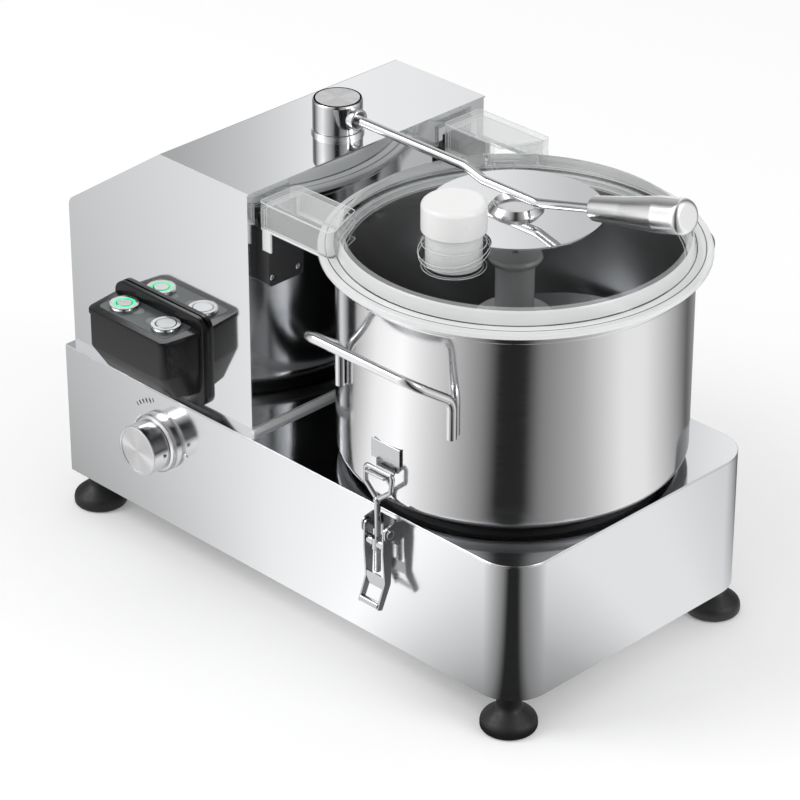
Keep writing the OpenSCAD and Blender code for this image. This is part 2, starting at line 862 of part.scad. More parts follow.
// Wire bail: hook bar on top, two sloping sides and the threaded shank
module latch_bail() {
    half = bail_w / 2 - bail_r;
    apex_z = top_z + 15;
    color("silver") {
        bent_rod([
            [latch_x, hook_bar_y, hook_bar_z], [latch_x - half, hook_bar_y, hook_bar_z],
            [latch_x - half + 1, hook_bar_y - 1, hook_bar_z - 14], [latch_x - 0.5, pivot_y, apex_z + 1]
        ], bail_r, 3);
        bent_rod([
            [latch_x, hook_bar_y, hook_bar_z], [latch_x + half, hook_bar_y, hook_bar_z],
            [latch_x + half - 1, hook_bar_y - 1, hook_bar_z - 14], [latch_x + 0.5, pivot_y, apex_z + 1]
        ], bail_r, 3);
        translate([latch_x, pivot_y, apex_z]) sphere(r = 3.4);
        translate([latch_x, pivot_y, top_z - 49.3]) cylinder(r = 2.5, h = apex_z - top_z + 49.3);
    }
}

module latch_nut() {
    color("silver")
        difference() {
            union() {
                translate([latch_x, pivot_y, trunnion_z - 5]) cylinder(r = nut_r, h = 10);
                translate([latch_x - lever_in - latch_t, pivot_y, trunnion_z])
                    rotate([0, 90, 0]) cylinder(r = latch_pin_r, h = 2 * (lever_in + latch_t));
                translate([latch_x - lever_in + moving_gap, pivot_y, trunnion_z])
                    rotate([0, 90, 0]) cylinder(r = 4, h = 2 * (lever_in - moving_gap));
            }
            translate([latch_x, pivot_y, trunnion_z - 10]) cylinder(r = 2.5, h = 20);
        }
}

module front_latch_lever() {
    color("silver") latch_lever();
}

module front_latch_bail() {
    latch_bail();
}

module front_latch_nut() {
    latch_nut();
}

module back_latch_lever() {
    color("silver") mirror([0, 1, 0]) latch_lever();
}

module back_latch_bail() {
    mirror([0, 1, 0]) latch_bail();
}

module back_latch_nut() {
    mirror([0, 1, 0]) latch_nut();
}

// Bracket blocks on the housing wall that the lid's arms rest on

bracket_x1 = house_x1 + 12.5;
bracket_z0 = flange_z - 45.5;
bracket_y0 = 85;
bracket_y1 = 122;
bracket_screw_d = 6.2;

module at_bracket_screws() {
    for (side = [-1, 1])
        for (y = [bracket_y0 + 5, bracket_y1 - 4])
            translate([house_x1, side * y, bracket_z0 + 7.2]) children();
}

module lid_brackets() {
    color("black")
        difference() {
            back_too() {
                translate([house_x1, -bracket_y1, bracket_z0])
                    rotate([90, 0, 90])
                        linear_extrude(bracket_x1 - house_x1)
                            polygon(rounded([
                                [0, 0, 3], [bracket_y1 - bracket_y0, 0, 3], [bracket_y1 - bracket_y0, 48, 2], [0, 48, 2]
                            ]));
                translate([house_x1, -bracket_y1 + 9, bracket_z0 + 47])
                    cube([bracket_x1 - house_x1 - 3, bracket_y1 - bracket_y0 - 18, 8]);
            }
            at_bracket_screws()
                translate([-10, 0, 0]) rotate([0, 90, 0]) cylinder(r = bracket_screw_d / 4, h = 40);
            at_bracket_screws()
                translate([bracket_x1 - house_x1 - 3, 0, 0]) rotate([0, 90, 0]) cylinder(r = bracket_screw_d / 2, h = 40);
        }
}

module bracket_screws() {
    color("silver")
        at_bracket_screws()
            rotate([0, 90, 0]) difference() {
                union() {
                    translate([0, 0, -sheet_t - 4]) cylinder(r = bracket_screw_d / 4, h = bracket_x1 - house_x1 + sheet_t + 1);
                    translate([0, 0, bracket_x1 - house_x1 - 3])
                        rotate_extrude()
                            polygon(rounded([
                                [0, 0, 0], [bracket_screw_d / 2, 0, 0], [bracket_screw_d / 2, 2.4, 1.2], [0, 2.4, 0]
                            ], 3));
                }
                for (turn = [0, 90])
                    rotate([0, 0, turn])
                        translate([-1.7, -0.4, bracket_x1 - house_x1 - 1.8]) cube([3.4, 0.8, 3]);
            }
}

// Clear lid, its disc, cup, gasket and feed cap

disc_cut_r = tube_r + 3.5;
tube_t = 2.5;
feed_x = bowl_x + 7;
feed_y = -sqrt(tube_off * tube_off - 49);
lid_arm_top = flange_top + 22.5;
lid_arm_z0 = flange_top - 1.2;
lid_arm_x0 = house_x1 + 3.5;
arm_long_in = 77;
arm_short_in = 94;

// Plan of a lid arm, moved in by t
module lid_arm(t) {
    y0 = -lid_arm_y - lid_arm_w / 2 + t;
    y1 = -lid_arm_y + lid_arm_w / 2 - t;
    polygon(rounded([
        [lid_arm_x0 + t, y0, 4], [bowl_x - arm_long_in - t, y0, 4], [bowl_x - arm_short_in - t, y1, 4], [lid_arm_x0 + t, y1, 4]
    ]));
}

module lid_arm_side() {
    translate([lid_arm_x0 + 4, -lid_arm_y - lid_arm_w / 2, flange_z - 13.5]) cube([9, 1.2, 22]);
    difference() {
        translate([0, 0, lid_arm_z0]) linear_extrude(lid_arm_top - lid_arm_z0) lid_arm(0);
        translate([0, 0, top_z]) linear_extrude(lid_arm_top - top_z - 3) lid_arm(3);
        translate([lid_arm_x0 - 1, -lid_arm_y - lid_arm_w / 2 + 2, flange_z - 19.5])
            cube([5, lid_arm_w - 4, 40]);
    }
}

module lid() {
    color("lightcyan", 0.4)
        difference() {
            union() {
                translate([bowl_x, 0, 0])
                    rotate_extrude()
                        polygon(rounded([
                            [0, cone_top - lid_t, 0], [disc_r + 2, cone_top - lid_t, 4],
                            [lid_wall_r - 15, wall_top + 3 - lid_t, 5], [lid_wall_r - lid_t, wall_top - 5, 3],
                            [lid_wall_r - lid_t, flange_z - 4, 0], [lid_wall_r, flange_z - 4, 0],
                            [lid_wall_r, flange_z, 0], [lid_r, flange_z, 1.5], [lid_r, flange_top, 1.5],
                            [lid_wall_r + 4, flange_top, 2], [lid_wall_r + 2, wall_top - 1, 4],
                            [lid_wall_r - 14, wall_top + 3, 5], [disc_r + 2, cone_top, 4], [0, cone_top, 0]
                        ], 6));
                difference() {
                    back_too() lid_arm_side();
                    translate([bowl_x, 0, 0]) cylinder(r = lid_wall_r, h = 2 * top_z);
                    translate([bowl_x, 0, 0]) cylinder(r = bowl_r + 8, h = flange_z);
                }
                translate([feed_x, feed_y, 0])
                    rotate_extrude()
                        polygon(rounded([
                            [tube_r - tube_t, cone_top - 18, 0], [tube_r, cone_top - 18, 0], [tube_r + 2.6, cone_top - 8, 0],
                            [tube_r + 2.6, cone_top + 2, 0.8], [tube_r, cone_top + 2, 0], [tube_r, tube_top, 0.5],
                            [tube_r - tube_t, tube_top, 0.5]
                        ], 3));
            }
            translate([feed_x, feed_y, cone_top - 30]) cylinder(r = tube_r - tube_t, h = 80);
        }
}

module lid_gasket() {
    color("black")
        translate([bowl_x, 0, bowl_top])
            difference() {
                cylinder(r = bowl_r + 4.5, h = gasket_h);
                translate([0, 0, -1]) cylinder(r = bowl_r + 0.5, h = gasket_h + 2);
            }
}

module lid_disc() {
    color("silver")
        difference() {
            translate([bowl_x, 0, cone_top]) cylinder(r = disc_r, h = disc_t);
            translate([feed_x, feed_y, cone_top - 5]) cylinder(r = disc_cut_r, h = 20);
        }
}

module lid_cup() {
    color("black")
        translate([bowl_x, 0, disc_top])
            rotate_extrude()
                polygon(rounded([
                    [0, 0, 0], [cup_r, 0, 0.5], [cup_r - 4.5, cup_h, 0.8], [cup_r - 5.2, cup_h, 0.3],
                    [cup_r - 8, 1.5, 1], [0, 1.5, 0]
                ], 3));
}

plug_gap = 0.4;

module feed_cap() {
    plug_r = tube_r - tube_t - plug_gap;
    color("white")
        translate([feed_x, feed_y, 0])
            rotate_extrude()
                polygon(rounded([
                    [0, tube_top + cap_h, 0], [tube_r + 0.5, tube_top + cap_h, 4], [tube_r + 0.5, tube_top, 0.5],
                    [plug_r, tube_top, 0], [plug_r, cone_top - 16, 1], [plug_r - 2.5, cone_top - 16, 1],
                    [plug_r - 2.5, tube_top + cap_h - 3, 2], [0, tube_top + cap_h - 3, 0]
                ], 5));
}

// Lock arm on its post

bush_r = 9;
pin_r = 7;
post_z1 = rod_z + post_over;

module post_ring() {
    color("silver")
        translate([post_x, 0, house_z1])
            difference() {
                cylinder(r = post_r + 1, h = ring_h);
                translate([0, 0, -1]) cylinder(r = bush_r, h = ring_h + 2);
            }
}

module pivot_bush() {
    color("gold")
        translate([post_x, 0, house_z1 - 22])
            difference() {
                union() {
                    cylinder(r = bush_r, h = 22 + ring_h);
                    translate([0, 0, 0]) cylinder(r = 16, h = 22 - sheet_t);
                }
                translate([0, 0, -1]) cylinder(r = pin_r + running_gap, h = 40);
            }
}

module post_cap() {
    color("silver")
        translate([post_x, 0, 0])
            difference() {
                union() {
                    rotate_extrude()
                        polygon(rounded([
                            [0, post_z0, 0], [post_r, post_z0, 0.5], [post_r, post_z1, 2.5],
                            [post_r - 1, post_z1, 0], [0, post_z1, 0]
                        ], 4));
                    translate([0, 0, house_z1 - 40]) cylinder(r = pin_r, h = 45);
                }
                translate([8, 0, rod_z]) rotate([0, 90, 0]) cylinder(r = rod_r, h = 30);
            }
}

module rod_collar() {
    x1 = post_r + 5;
    color("silver")
        translate([post_x, 0, rod_z])
            difference() {
                rotate([0, 90, 0])
                    rotate_extrude()
                        polygon(rounded([
                            [rod_r, post_r - 2.4, 0], [collar_r, post_r - 2.4, 0], [collar_r, x1, 1.5], [rod_r, x1, 0]
                        ], 3));
                translate([0, 0, -rod_z]) cylinder(r = post_r, h = 2 * top_z + 200);
            }
}

rise_x = post_x + rise_from_post;
grip_x = rise_x + rise_l * cos(rise_deg);
grip_z = rod_low_z + rise_l * sin(rise_deg);

module lock_rod() {
    step_x = post_x + rod_flat_l;
    color("silver")
        bent_rod([
            [post_x + 8, 0, rod_z], [step_x, 0, rod_z], [step_x + step_run, 0, rod_low_z],
            [rise_x, 0, rod_low_z], [grip_x + 30 * cos(rise_deg), 0, grip_z + 30 * sin(rise_deg)]
        ], rod_r, 18);
}

module grip() {
    r1 = grip_d / 2;
    r0 = r1 * 0.69;
    color("silver")
        translate([grip_x, 0, grip_z])
            rotate([0, 90 - rise_deg, 0])
                difference() {
                    rotate_extrude()
                        polygon(rounded([
                            [0, 0, 0], [r0, 0, 2], [r0 + 1.6, grip_l * 0.36, 6], [r1, grip_l * 0.72, 14],
                            [r1 - grip_end_in, grip_l, grip_round], [0, grip_l, 0]
                        ], 6));
                    translate([0, 0, -1]) cylinder(r = rod_r, h = 31);
                }
}

cam_z = house_z1 - 34;

module arm_cam() {
    color("dimgray")
        translate([post_x, 0, cam_z])
            difference() {
                union() {
                    cylinder(r = 11, h = 8);
                    linear_extrude(8) polygon([[0, -11], [22, -4], [22, 4], [0, 11]]);
                }
                translate([0, 0, -1]) cylinder(r = pin_r, h = 20);
            }
}

module interlock_switch() {
    color("dimgray")
        translate([house_x1 - sheet_t - 9, -10, cam_z - 6]) cube([9, 20, 20]);
}

// Drive: motor, pulleys, belt, shaft and bearings

belt_z = foot_h + 12;
shaft_top_z = top_z + 118;
drive_top_z = top_z - sheet_t;
bearing_r = 21;
bearing_h = 14;
house_low_z = drive_top_z - 70;
drive_flat_z = tube_top_z + 2;

module bearing_housing() {
    color("lightgray")
        translate([bowl_x, 0, 0])
            difference() {
                rotate_extrude()
                    polygon(rounded([
                        [shaft_r + 3, top_z + 4, 0], [spigot_r, top_z + 4, 1], [spigot_r, drive_top_z, 0],
                        [62, drive_top_z, 0], [62, drive_top_z - 9, 1], [34, drive_top_z - 9, 4],
                        [30, house_low_z, 1], [shaft_r + 3, house_low_z, 0]
                    ], 4));
                translate([0, 0, top_z + 4 - bearing_h]) cylinder(r = bearing_r, h = bearing_h + 1);
                translate([0, 0, house_low_z - 1]) cylinder(r = bearing_r, h = bearing_h + 1);
            }
}

module shaft_bearings() {
    color("silver")
        for (z = [top_z + 4 - bearing_h, house_low_z])
            translate([bowl_x, 0, z])
                difference() {
                    cylinder(r = bearing_r, h = bearing_h);
                    translate([0, 0, -1]) cylinder(r = shaft_r + running_gap, h = bearing_h + 2);
                }
}

module drive_shaft() {
    color("silver")
        translate([bowl_x, 0, belt_z - 3])
            difference() {
                cylinder(r = shaft_r, h = shaft_top_z - belt_z + 3);
                for (side = [-1, 1])
                    translate([side * 16 - 8, -20, drive_flat_z - belt_z + 3]) cube([16, 40, 100]);
            }
}

module pulley(r) {
    crown = 1.5;
    translate([0, 0, -3])
        rotate_extrude()
            polygon([
                [0, 0], [r + crown, 0], [r + crown, 2], [r - 1, 2], [r - 1, 4 + belt_w],
                [r + crown, 4 + belt_w], [r + crown, 6 + belt_w], [0, 6 + belt_w]
            ]);
}

module driven_pulley() {
    color("gray")
        translate([bowl_x, 0, belt_z])
            difference() {
                pulley(large_pulley_r);
                translate([0, 0, -10]) cylinder(r = shaft_r, h = 60);
                for (i = [0:4])
                    rotate([0, 0, i * 72])
                        translate([large_pulley_r * 0.6, 0, -10]) cylinder(r = 10, h = 60);
            }
}

motor_shaft_r = 9;
motor_spigot_r = 35;

module motor() {
    color("dimgray")
        translate([motor_x, 0, 0])
            difference() {
                rotate_extrude()
                    polygon(rounded([
                        [motor_shaft_r + 3, drive_top_z - 6, 0], [motor_spigot_r, drive_top_z - 6, 1],
                        [motor_spigot_r, top_z, 0], [motor_r + 6, top_z, 0], [motor_r + 6, top_z + 9, 2],
                        [motor_r, top_z + 9, 0], [motor_r, top_z + motor_h, 8], [0, top_z + motor_h, 0],
                        [0, top_z + motor_h - 8, 0], [motor_shaft_r + 3, top_z + motor_h - 8, 0]
                    ], 4));
                for (z = [drive_top_z - 7, top_z + motor_h - 25])
                    translate([0, 0, z]) cylinder(r = motor_shaft_r + 8, h = 3);
            }
}

module motor_shaft() {
    color("silver")
        translate([motor_x, 0, belt_z - 3])
            cylinder(r = motor_shaft_r, h = top_z + motor_h - 12 - belt_z + 3);
}

module motor_pulley() {
    color("gray")
        translate([motor_x, 0, belt_z])
            difference() {
                pulley(small_pulley_r);
                translate([0, 0, -10]) cylinder(r = motor_shaft_r, h = 60);
            }
}

// Loop around both pulleys at distance g from their running faces
module belt_loop(g) {
    span = bowl_x - motor_x;
    r0 = small_pulley_r - 1 + g;
    r1 = large_pulley_r - 1 + g;
    a = asin((r1 - r0) / span);
    polygon([
        for (i = [0:24]) [motor_x, 0] + r0 * [cos(90 + a + i * (180 - 2 * a) / 24), sin(90 + a + i * (180 - 2 * a) / 24)],
        for (i = [0:24]) [bowl_x, 0] + r1 * [cos(-90 - a + i * (180 + 2 * a) / 24), sin(-90 - a + i * (180 + 2 * a) / 24)]
    ]);
}

module drive_belt() {
    color("black")
        translate([0, 0, belt_z + 1.5])
            linear_extrude(belt_w - 3)
                difference() {
                    belt_loop(3.5);
                    belt_loop(0.6);
                }
}

// Cutter: hub, mushroom cap and two swept blades

hub_low_z = seat_z + bowl_t + 2;
hub_top_z = top_z + 123;
column_top_z = top_z + 168;
cap_top_z = top_z + 175.3;
lower_blade_z = hub_low_z + 7;
upper_blade_z = top_z + 78;

module cutter_hub() {
    color("whitesmoke")
        translate([bowl_x, 0, 0])
            difference() {
                rotate_extrude()
                    polygon(rounded([
                        [0, hub_low_z, 0], [hub_r - 2, hub_low_z, 1], [hub_r - 2, lower_blade_z, 0],
                        [hub_r, lower_blade_z, 0], [hub_r, hub_top_z, 3], [column_r, hub_top_z, 3],
                        [column_r, column_top_z, 0], [0, column_top_z, 0]
                    ], 4));
                translate([0, 0, hub_low_z - 1]) cylinder(r = tube_in_r + bowl_t + 1.5, h = drive_flat_z - hub_low_z + 1);
                translate([0, 0, hub_low_z])
                    intersection() {
                        cylinder(r = shaft_r + running_gap, h = shaft_top_z - hub_low_z + 1);
                        translate([-8 - running_gap, -20, 0]) cube([16 + 2 * running_gap, 40, 200]);
                    }
                for (z = [lower_blade_z, upper_blade_z])
                    difference() {
                        translate([0, 0, z]) cylinder(r = hub_r + 1, h = blade_t);
                        translate([0, 0, z - 1]) cylinder(r = hub_r - 5, h = blade_t + 2);
                    }
            }
}

module hub_cap() {
    color("whitesmoke")
        translate([bowl_x, 0, 0])
            difference() {
                rotate_extrude()
                    polygon(rounded([
                        [0, column_top_z, 0], [hub_cap_r - 3, column_top_z, 1], [hub_cap_r, cap_top_z - 3, 1.5],
                        [hub_cap_r - 1.5, cap_top_z, 1.5], [0, cap_top_z, 0]
                    ], 4));
                translate([0, 0, cap_top_z - 0.8]) cylinder(r = 2.5, h = 5);
            }
}

// Ring with two swept wings whose tips are cut at radius reach
module blade(reach) {
    difference() {
        intersection() {
            union() {
                circle(r = hub_r + 6);
                for (turn = [0, 180])
                    rotate([0, 0, turn])
                        difference() {
                            translate([reach * 0.42, 0]) circle(r = reach * 0.58);
                            translate([reach * 0.34, -reach * 0.3]) circle(r = reach * 0.62);
                        }
            }
            circle(r = reach);
        }
        circle(r = hub_r - 5);
    }
}

module lower_blade() {
    reach = bowl_r - bowl_t - blade_gap;
    color("silver")
        translate([bowl_x, 0, lower_blade_z])
            linear_extrude(blade_t) blade(reach);
}

module upper_blade() {
    reach = bowl_r - bowl_t - blade_gap;
    color("silver")
        translate([bowl_x, 0, upper_blade_z])
            rotate([0, 0, 90]) linear_extrude(blade_t) blade(reach);
}

base_shell();
base_top_plate();
bottom_cover();
feet();
foot_screws();
housing_cover();
housing_wall();
wall_strip();
cable_gland();
switch_box();
switch_gasket();
switch_panel();
button_bezels();
start_light_ring();
start_button();
stop_button();
dial_ring();
speed_knob();
knob_set_screw();
potentiometer();
control_board();
bowl_seat_ring();
bowl();
bowl_handles();
latch_keepers();
lid_brackets();
bracket_screws();
latch_brackets();
latch_rivets();
front_latch_lever();
front_latch_bail();
front_latch_nut();
back_latch_lever();
back_latch_bail();
back_latch_nut();
lid();
lid_gasket();
lid_disc();
lid_cup();
feed_cap();
post_ring();
pivot_bush();
post_cap();
rod_collar();
lock_rod();
grip();
arm_cam();
interlock_switch();
drive_shaft();
driven_pulley();
cutter_hub();
hub_cap();
lower_blade();
upper_blade();
bearing_housing();
shaft_bearings();
motor();
motor_shaft();
motor_pulley();
drive_belt();
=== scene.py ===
import json
import math

import bmesh
import bpy
from mathutils import Matrix, Vector

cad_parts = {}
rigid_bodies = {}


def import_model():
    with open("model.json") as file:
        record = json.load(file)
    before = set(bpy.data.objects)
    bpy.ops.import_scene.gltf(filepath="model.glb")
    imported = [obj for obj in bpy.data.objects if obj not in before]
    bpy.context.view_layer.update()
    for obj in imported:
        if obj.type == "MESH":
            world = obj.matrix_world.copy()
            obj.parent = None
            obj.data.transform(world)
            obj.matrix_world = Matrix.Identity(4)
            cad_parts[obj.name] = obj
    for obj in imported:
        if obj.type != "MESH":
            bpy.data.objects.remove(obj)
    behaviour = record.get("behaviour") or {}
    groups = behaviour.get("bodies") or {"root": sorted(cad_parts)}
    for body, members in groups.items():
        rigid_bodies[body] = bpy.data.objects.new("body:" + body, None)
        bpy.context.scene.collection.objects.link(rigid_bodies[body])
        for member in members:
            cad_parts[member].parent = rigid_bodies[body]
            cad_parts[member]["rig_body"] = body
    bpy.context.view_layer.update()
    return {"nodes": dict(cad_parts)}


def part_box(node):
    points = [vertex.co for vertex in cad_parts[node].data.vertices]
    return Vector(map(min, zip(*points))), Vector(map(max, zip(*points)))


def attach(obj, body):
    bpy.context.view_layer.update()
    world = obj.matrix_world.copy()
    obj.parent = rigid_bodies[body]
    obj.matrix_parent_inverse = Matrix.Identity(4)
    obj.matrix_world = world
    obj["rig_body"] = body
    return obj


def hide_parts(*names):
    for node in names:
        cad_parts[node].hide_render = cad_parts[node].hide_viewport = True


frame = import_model()
cad = frame["nodes"]
print("stage: frame loaded,", len(cad), "solids")


# places in the row frame, taken from the solids
bowlMid = sum((Vector(c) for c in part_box("bowl_seat_ring")), Vector()) / 2
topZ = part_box("base_top_plate")[1][2]
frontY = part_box("base_shell")[0][1]

# materials


def startMaterial(name):
    material = bpy.data.materials.new(name)
    material.use_nodes = True
    tree = material.node_tree
    shader = next(n for n in tree.nodes if n.type == "BSDF_PRINCIPLED")
    return material, tree, shader


def addNode(tree, kind, values=None, **settings):
    node = tree.nodes.new(kind)
    for key, value in settings.items():
        setattr(node, key, value)
    for key, value in (values or {}).items():
        node.inputs[key].default_value = value
    return node


def objectCoords(tree, scale=(1, 1, 1), location=(0, 0, 0)):
    coords = addNode(tree, "ShaderNodeTexCoord")
    mapping = addNode(tree, "ShaderNodeMapping")
    mapping.inputs["Scale"].default_value = scale
    mapping.inputs["Location"].default_value = location
    tree.links.new(coords.outputs["Object"], mapping.inputs["Vector"])
    return mapping.outputs["Vector"]


def noiseOn(tree, scale, noiseScale, detail=2.0):
    noise = addNode(tree, "ShaderNodeTexNoise", {"Scale": noiseScale, "Detail": detail})
    tree.links.new(objectCoords(tree, scale), noise.inputs["Vector"])
    return noise.outputs["Fac"]


# the part of 0 to 1 that a noise's values fill, and how fine and how deep the grain is made from it
grainLook = {"fillFrom": 0.3, "fillTo": 0.7, "steelDetail": 3.0, "steelDeep": 0.0002, "plasticDetail": 4.0,
             "plasticDeep": 0.0003}


def spread(tree, source, low, high):
    ramp = addNode(tree, "ShaderNodeMapRange", {
        "From Min": grainLook["fillFrom"], "From Max": grainLook["fillTo"], "To Min": low, "To Max": high})
    tree.links.new(source, ramp.inputs["Value"])
    return ramp.outputs["Result"]


def bumpFrom(tree, shader, source, strength, distance):
    bump = addNode(tree, "ShaderNodeBump", {"Strength": strength, "Distance": distance})
    tree.links.new(source, bump.inputs["Height"])
    tree.links.new(bump.outputs["Normal"], shader.inputs["Normal"])


def calc(tree, operation, *terms):
    # a Math node whose terms are sockets or plain numbers
    node = addNode(tree, "ShaderNodeMath", operation=operation)
    for k, term in enumerate(terms):
        if isinstance(term, (int, float)):
            node.inputs[k].default_value = term
        else:
            tree.links.new(term, node.inputs[k])
    return node.outputs[0]


def blendColors(tree, amount, first, second):
    tint = addNode(tree, "ShaderNodeMix", data_type="RGBA")
    # sockets 6 and 7 of a Mix node are its two colours, and output 2 is the mixed one
    tint.inputs[6].default_value = (*first, 1)
    tint.inputs[7].default_value = (*second, 1)
    tree.links.new(amount, tint.inputs[0])
    return tint.outputs[2]


def blendShaders(tree, amount, first, second):
    mix = addNode(tree, "ShaderNodeMixShader")
    if isinstance(amount, float):
        mix.inputs[0].default_value = amount
    else:
        tree.links.new(amount, mix.inputs[0])
    tree.links.new(first, mix.inputs[1])
    tree.links.new(second, mix.inputs[2])
    return mix.outputs[0]


def roundBowl(tree, zeroHeight):
    # distance from the bowl's axis, and height over zeroHeight
    place = objectCoords(tree, (1, 1, 1), (-bowlMid.x, -bowlMid.y, -zeroHeight))
    level = addNode(tree, "ShaderNodeVectorMath", operation="MULTIPLY", values={1: (1, 1, 0)})
    reach = addNode(tree, "ShaderNodeVectorMath", operation="LENGTH")
    split = addNode(tree, "ShaderNodeSeparateXYZ")
    tree.links.new(place, level.inputs[0])
    tree.links.new(level.outputs[0], reach.inputs[0])
    tree.links.new(place, split.inputs["Vector"])
    return reach.outputs["Value"], split.outputs["Z"]


def roughenBy(tree, shader, where, amount):
    # adds to the roughness that the shader has, where the mask is 1
    before = shader.inputs["Roughness"].links[0].from_socket
    tree.links.new(calc(tree, "MULTIPLY_ADD", where, amount, before), shader.inputs["Roughness"])


def makeSteel(name, look):
    # polished or brushed sheet: the grain is a noise, drawn out where the sheet is brushed, in the roughness
    material, tree, shader = startMaterial(name)
    shader.inputs["Base Color"].default_value = (*look["color"], 1)
    shader.inputs["Metallic"].default_value = 1
    grain = noiseOn(tree, look.get("grainScale", (1, 1, 1)), look["grainSize"], grainLook["steelDetail"])
    tree.links.new(spread(tree, grain, *look["roughness"]), shader.inputs["Roughness"])
    if look.get("bump"):
        bumpFrom(tree, shader, grain, look["bump"], grainLook["steelDeep"])
    if look.get("turned"):
        turnFace(tree, shader, look)
    return material


def turnFace(tree, shader, look):
    # lathe marks on the end face alone: rougher across the marks there, polished down the side
    tangent = addNode(tree, "ShaderNodeTangent", direction_type="RADIAL", axis=look["axis"])
    tree.links.new(tangent.outputs["Tangent"], shader.inputs["Tangent"])
    split = addNode(tree, "ShaderNodeSeparateXYZ")
    tree.links.new(objectCoords(tree), split.inputs["Vector"])
    face = calc(tree, look["side"], split.outputs[look["axis"]], look["faceAt"])
    tree.links.new(calc(tree, "MULTIPLY", face, look["turned"]), shader.inputs["Anisotropic"])
    roughenBy(tree, shader, face, look["faceRough"])


def makeBowl(name, look):
    # polished outside and satin inside, with painted shade: the inside is coloured darker; the two meet
    # halfway through the wall
    material = makeSteel(name, look)
    tree = material.node_tree
    shader = next(n for n in tree.nodes if n.type == "BSDF_PRINCIPLED")
    radius, height = roundBowl(tree, 0)
    within = calc(tree, "LESS_THAN", radius, look["insideRadius"])
    above = calc(tree, "GREATER_THAN", height, look["insideFrom"])
    inside = calc(tree, "MULTIPLY", within, above)
    # painted shade: the inside of the bowl takes the darker colour
    tree.links.new(blendColors(tree, inside, look["color"], look["insideShadeColor"]), shader.inputs["Base Color"])
    roughenBy(tree, shader, inside, look["insideRough"])
    return material


def makePlastic(name, look):
    material, tree, shader = startMaterial(name)
    shader.inputs["Base Color"].default_value = (*look["color"], 1)
    shader.inputs["Specular IOR Level"].default_value = look.get("specular", 0.5)
    grain = noiseOn(tree, (1, 1, 1), look["grainSize"], grainLook["plasticDetail"])
    tree.links.new(spread(tree, grain, *look["roughness"]), shader.inputs["Roughness"])
    if look.get("bump"):
        bumpFrom(tree, shader, grain, look["bump"], grainLook["plasticDeep"])
    return material


# roughness runs from one value to the other with the grain
steelLooks = {
    "baseSteel": {
        "color": (0.78, 0.79, 0.80), "roughness": (0.10, 0.15), "grainSize": 12.0, "grainScale": (1, 1, 60),
        "bump": 0.01},
    "topSteel": {"color": (0.80, 0.81, 0.82), "roughness": (0.05, 0.09), "grainSize": 30.0},
    "housingSteel": {
        "color": (0.78, 0.79, 0.80), "roughness": (0.05, 0.08), "grainSize": 10.0, "grainScale": (2, 2, 50)},
    "wallSteel": {"color": (0.78, 0.79, 0.80), "roughness": (0.05, 0.08), "grainSize": 20.0},
    "gripSteel": {"color": (0.95, 0.95, 0.955), "roughness": (0.20, 0.26), "grainSize": 60.0},
    "rodSteel": {"color": (0.74, 0.74, 0.75), "roughness": (0.12, 0.18), "grainSize": 60.0},
    "turnedSteel": {
        "color": (0.80, 0.80, 0.81), "roughness": (0.09, 0.13), "grainSize": 90.0,
        "turned": 0.9, "faceRough": 0.2, "axis": "Z", "side": "GREATER_THAN",
        "faceAt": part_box("post_cap")[1][2] - 0.0004},
    "knobSteel": {
        "color": (0.74, 0.74, 0.75), "roughness": (0.16, 0.20), "grainSize": 90.0,
        "turned": 0.9, "faceRough": 0.2, "axis": "Y", "side": "LESS_THAN",
        "faceAt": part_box("speed_knob")[0][1] + 0.0012},
    "capSteel": {"color": (0.40, 0.405, 0.41), "roughness": (0.30, 0.38), "grainSize": 90.0},
    "stampedSteel": {"color": (0.50, 0.505, 0.51), "roughness": (0.14, 0.22), "grainSize": 120.0},
    "latchWire": {"color": (0.56, 0.565, 0.57), "roughness": (0.10, 0.16), "grainSize": 60.0},
    "bladeSteel": {"color": (0.74, 0.75, 0.76), "roughness": (0.12, 0.22), "grainSize": 70.0},
    "zincSteel": {"color": (0.62, 0.63, 0.62), "roughness": (0.32, 0.45), "grainSize": 60.0, "bump": 0.05},
    "castAlloy": {"color": (0.70, 0.70, 0.71), "roughness": (0.40, 0.55), "grainSize": 150.0, "bump": 0.15},
    "bushBrass": {"color": (0.74, 0.55, 0.26), "roughness": (0.22, 0.34), "grainSize": 80.0},
}
plasticLooks = {
    "boxPlastic": {
        "color": (0.008, 0.008, 0.009), "roughness": (0.20, 0.26), "grainSize": 60.0, "specular": 0.32},
    "blackPlastic": {
        "color": (0.018, 0.018, 0.02), "roughness": (0.35, 0.5), "grainSize": 300.0, "bump": 0.06},
    "hubPlastic": {"color": (0.33, 0.33, 0.335), "roughness": (0.22, 0.24), "grainSize": 60.0},
    "footRubber": {
        "color": (0.010, 0.010, 0.011), "roughness": (0.42, 0.56), "grainSize": 260.0, "bump": 0.08},
    "seatRubber": {"color": (0.05, 0.05, 0.052), "roughness": (0.35, 0.45), "grainSize": 200.0},
    "capPlastic": {"color": (0.86, 0.86, 0.855), "roughness": (0.27, 0.29), "grainSize": 60.0},
    "stripPlastic": {"color": (0.82, 0.83, 0.83), "roughness": (0.3, 0.4), "grainSize": 200.0},
    "panelFilm": {"color": (0.055, 0.068, 0.070), "roughness": (0.26, 0.34), "grainSize": 60.0},
    "padFilm": {"color": (0.16, 0.17, 0.17), "roughness": (0.3, 0.4), "grainSize": 60.0},
    "boardGreen": {"color": (0.03, 0.20, 0.09), "roughness": (0.35, 0.5), "grainSize": 200.0},
    "markInk": {"color": (0.05, 0.05, 0.055), "roughness": (0.4, 0.5), "grainSize": 100.0},
}
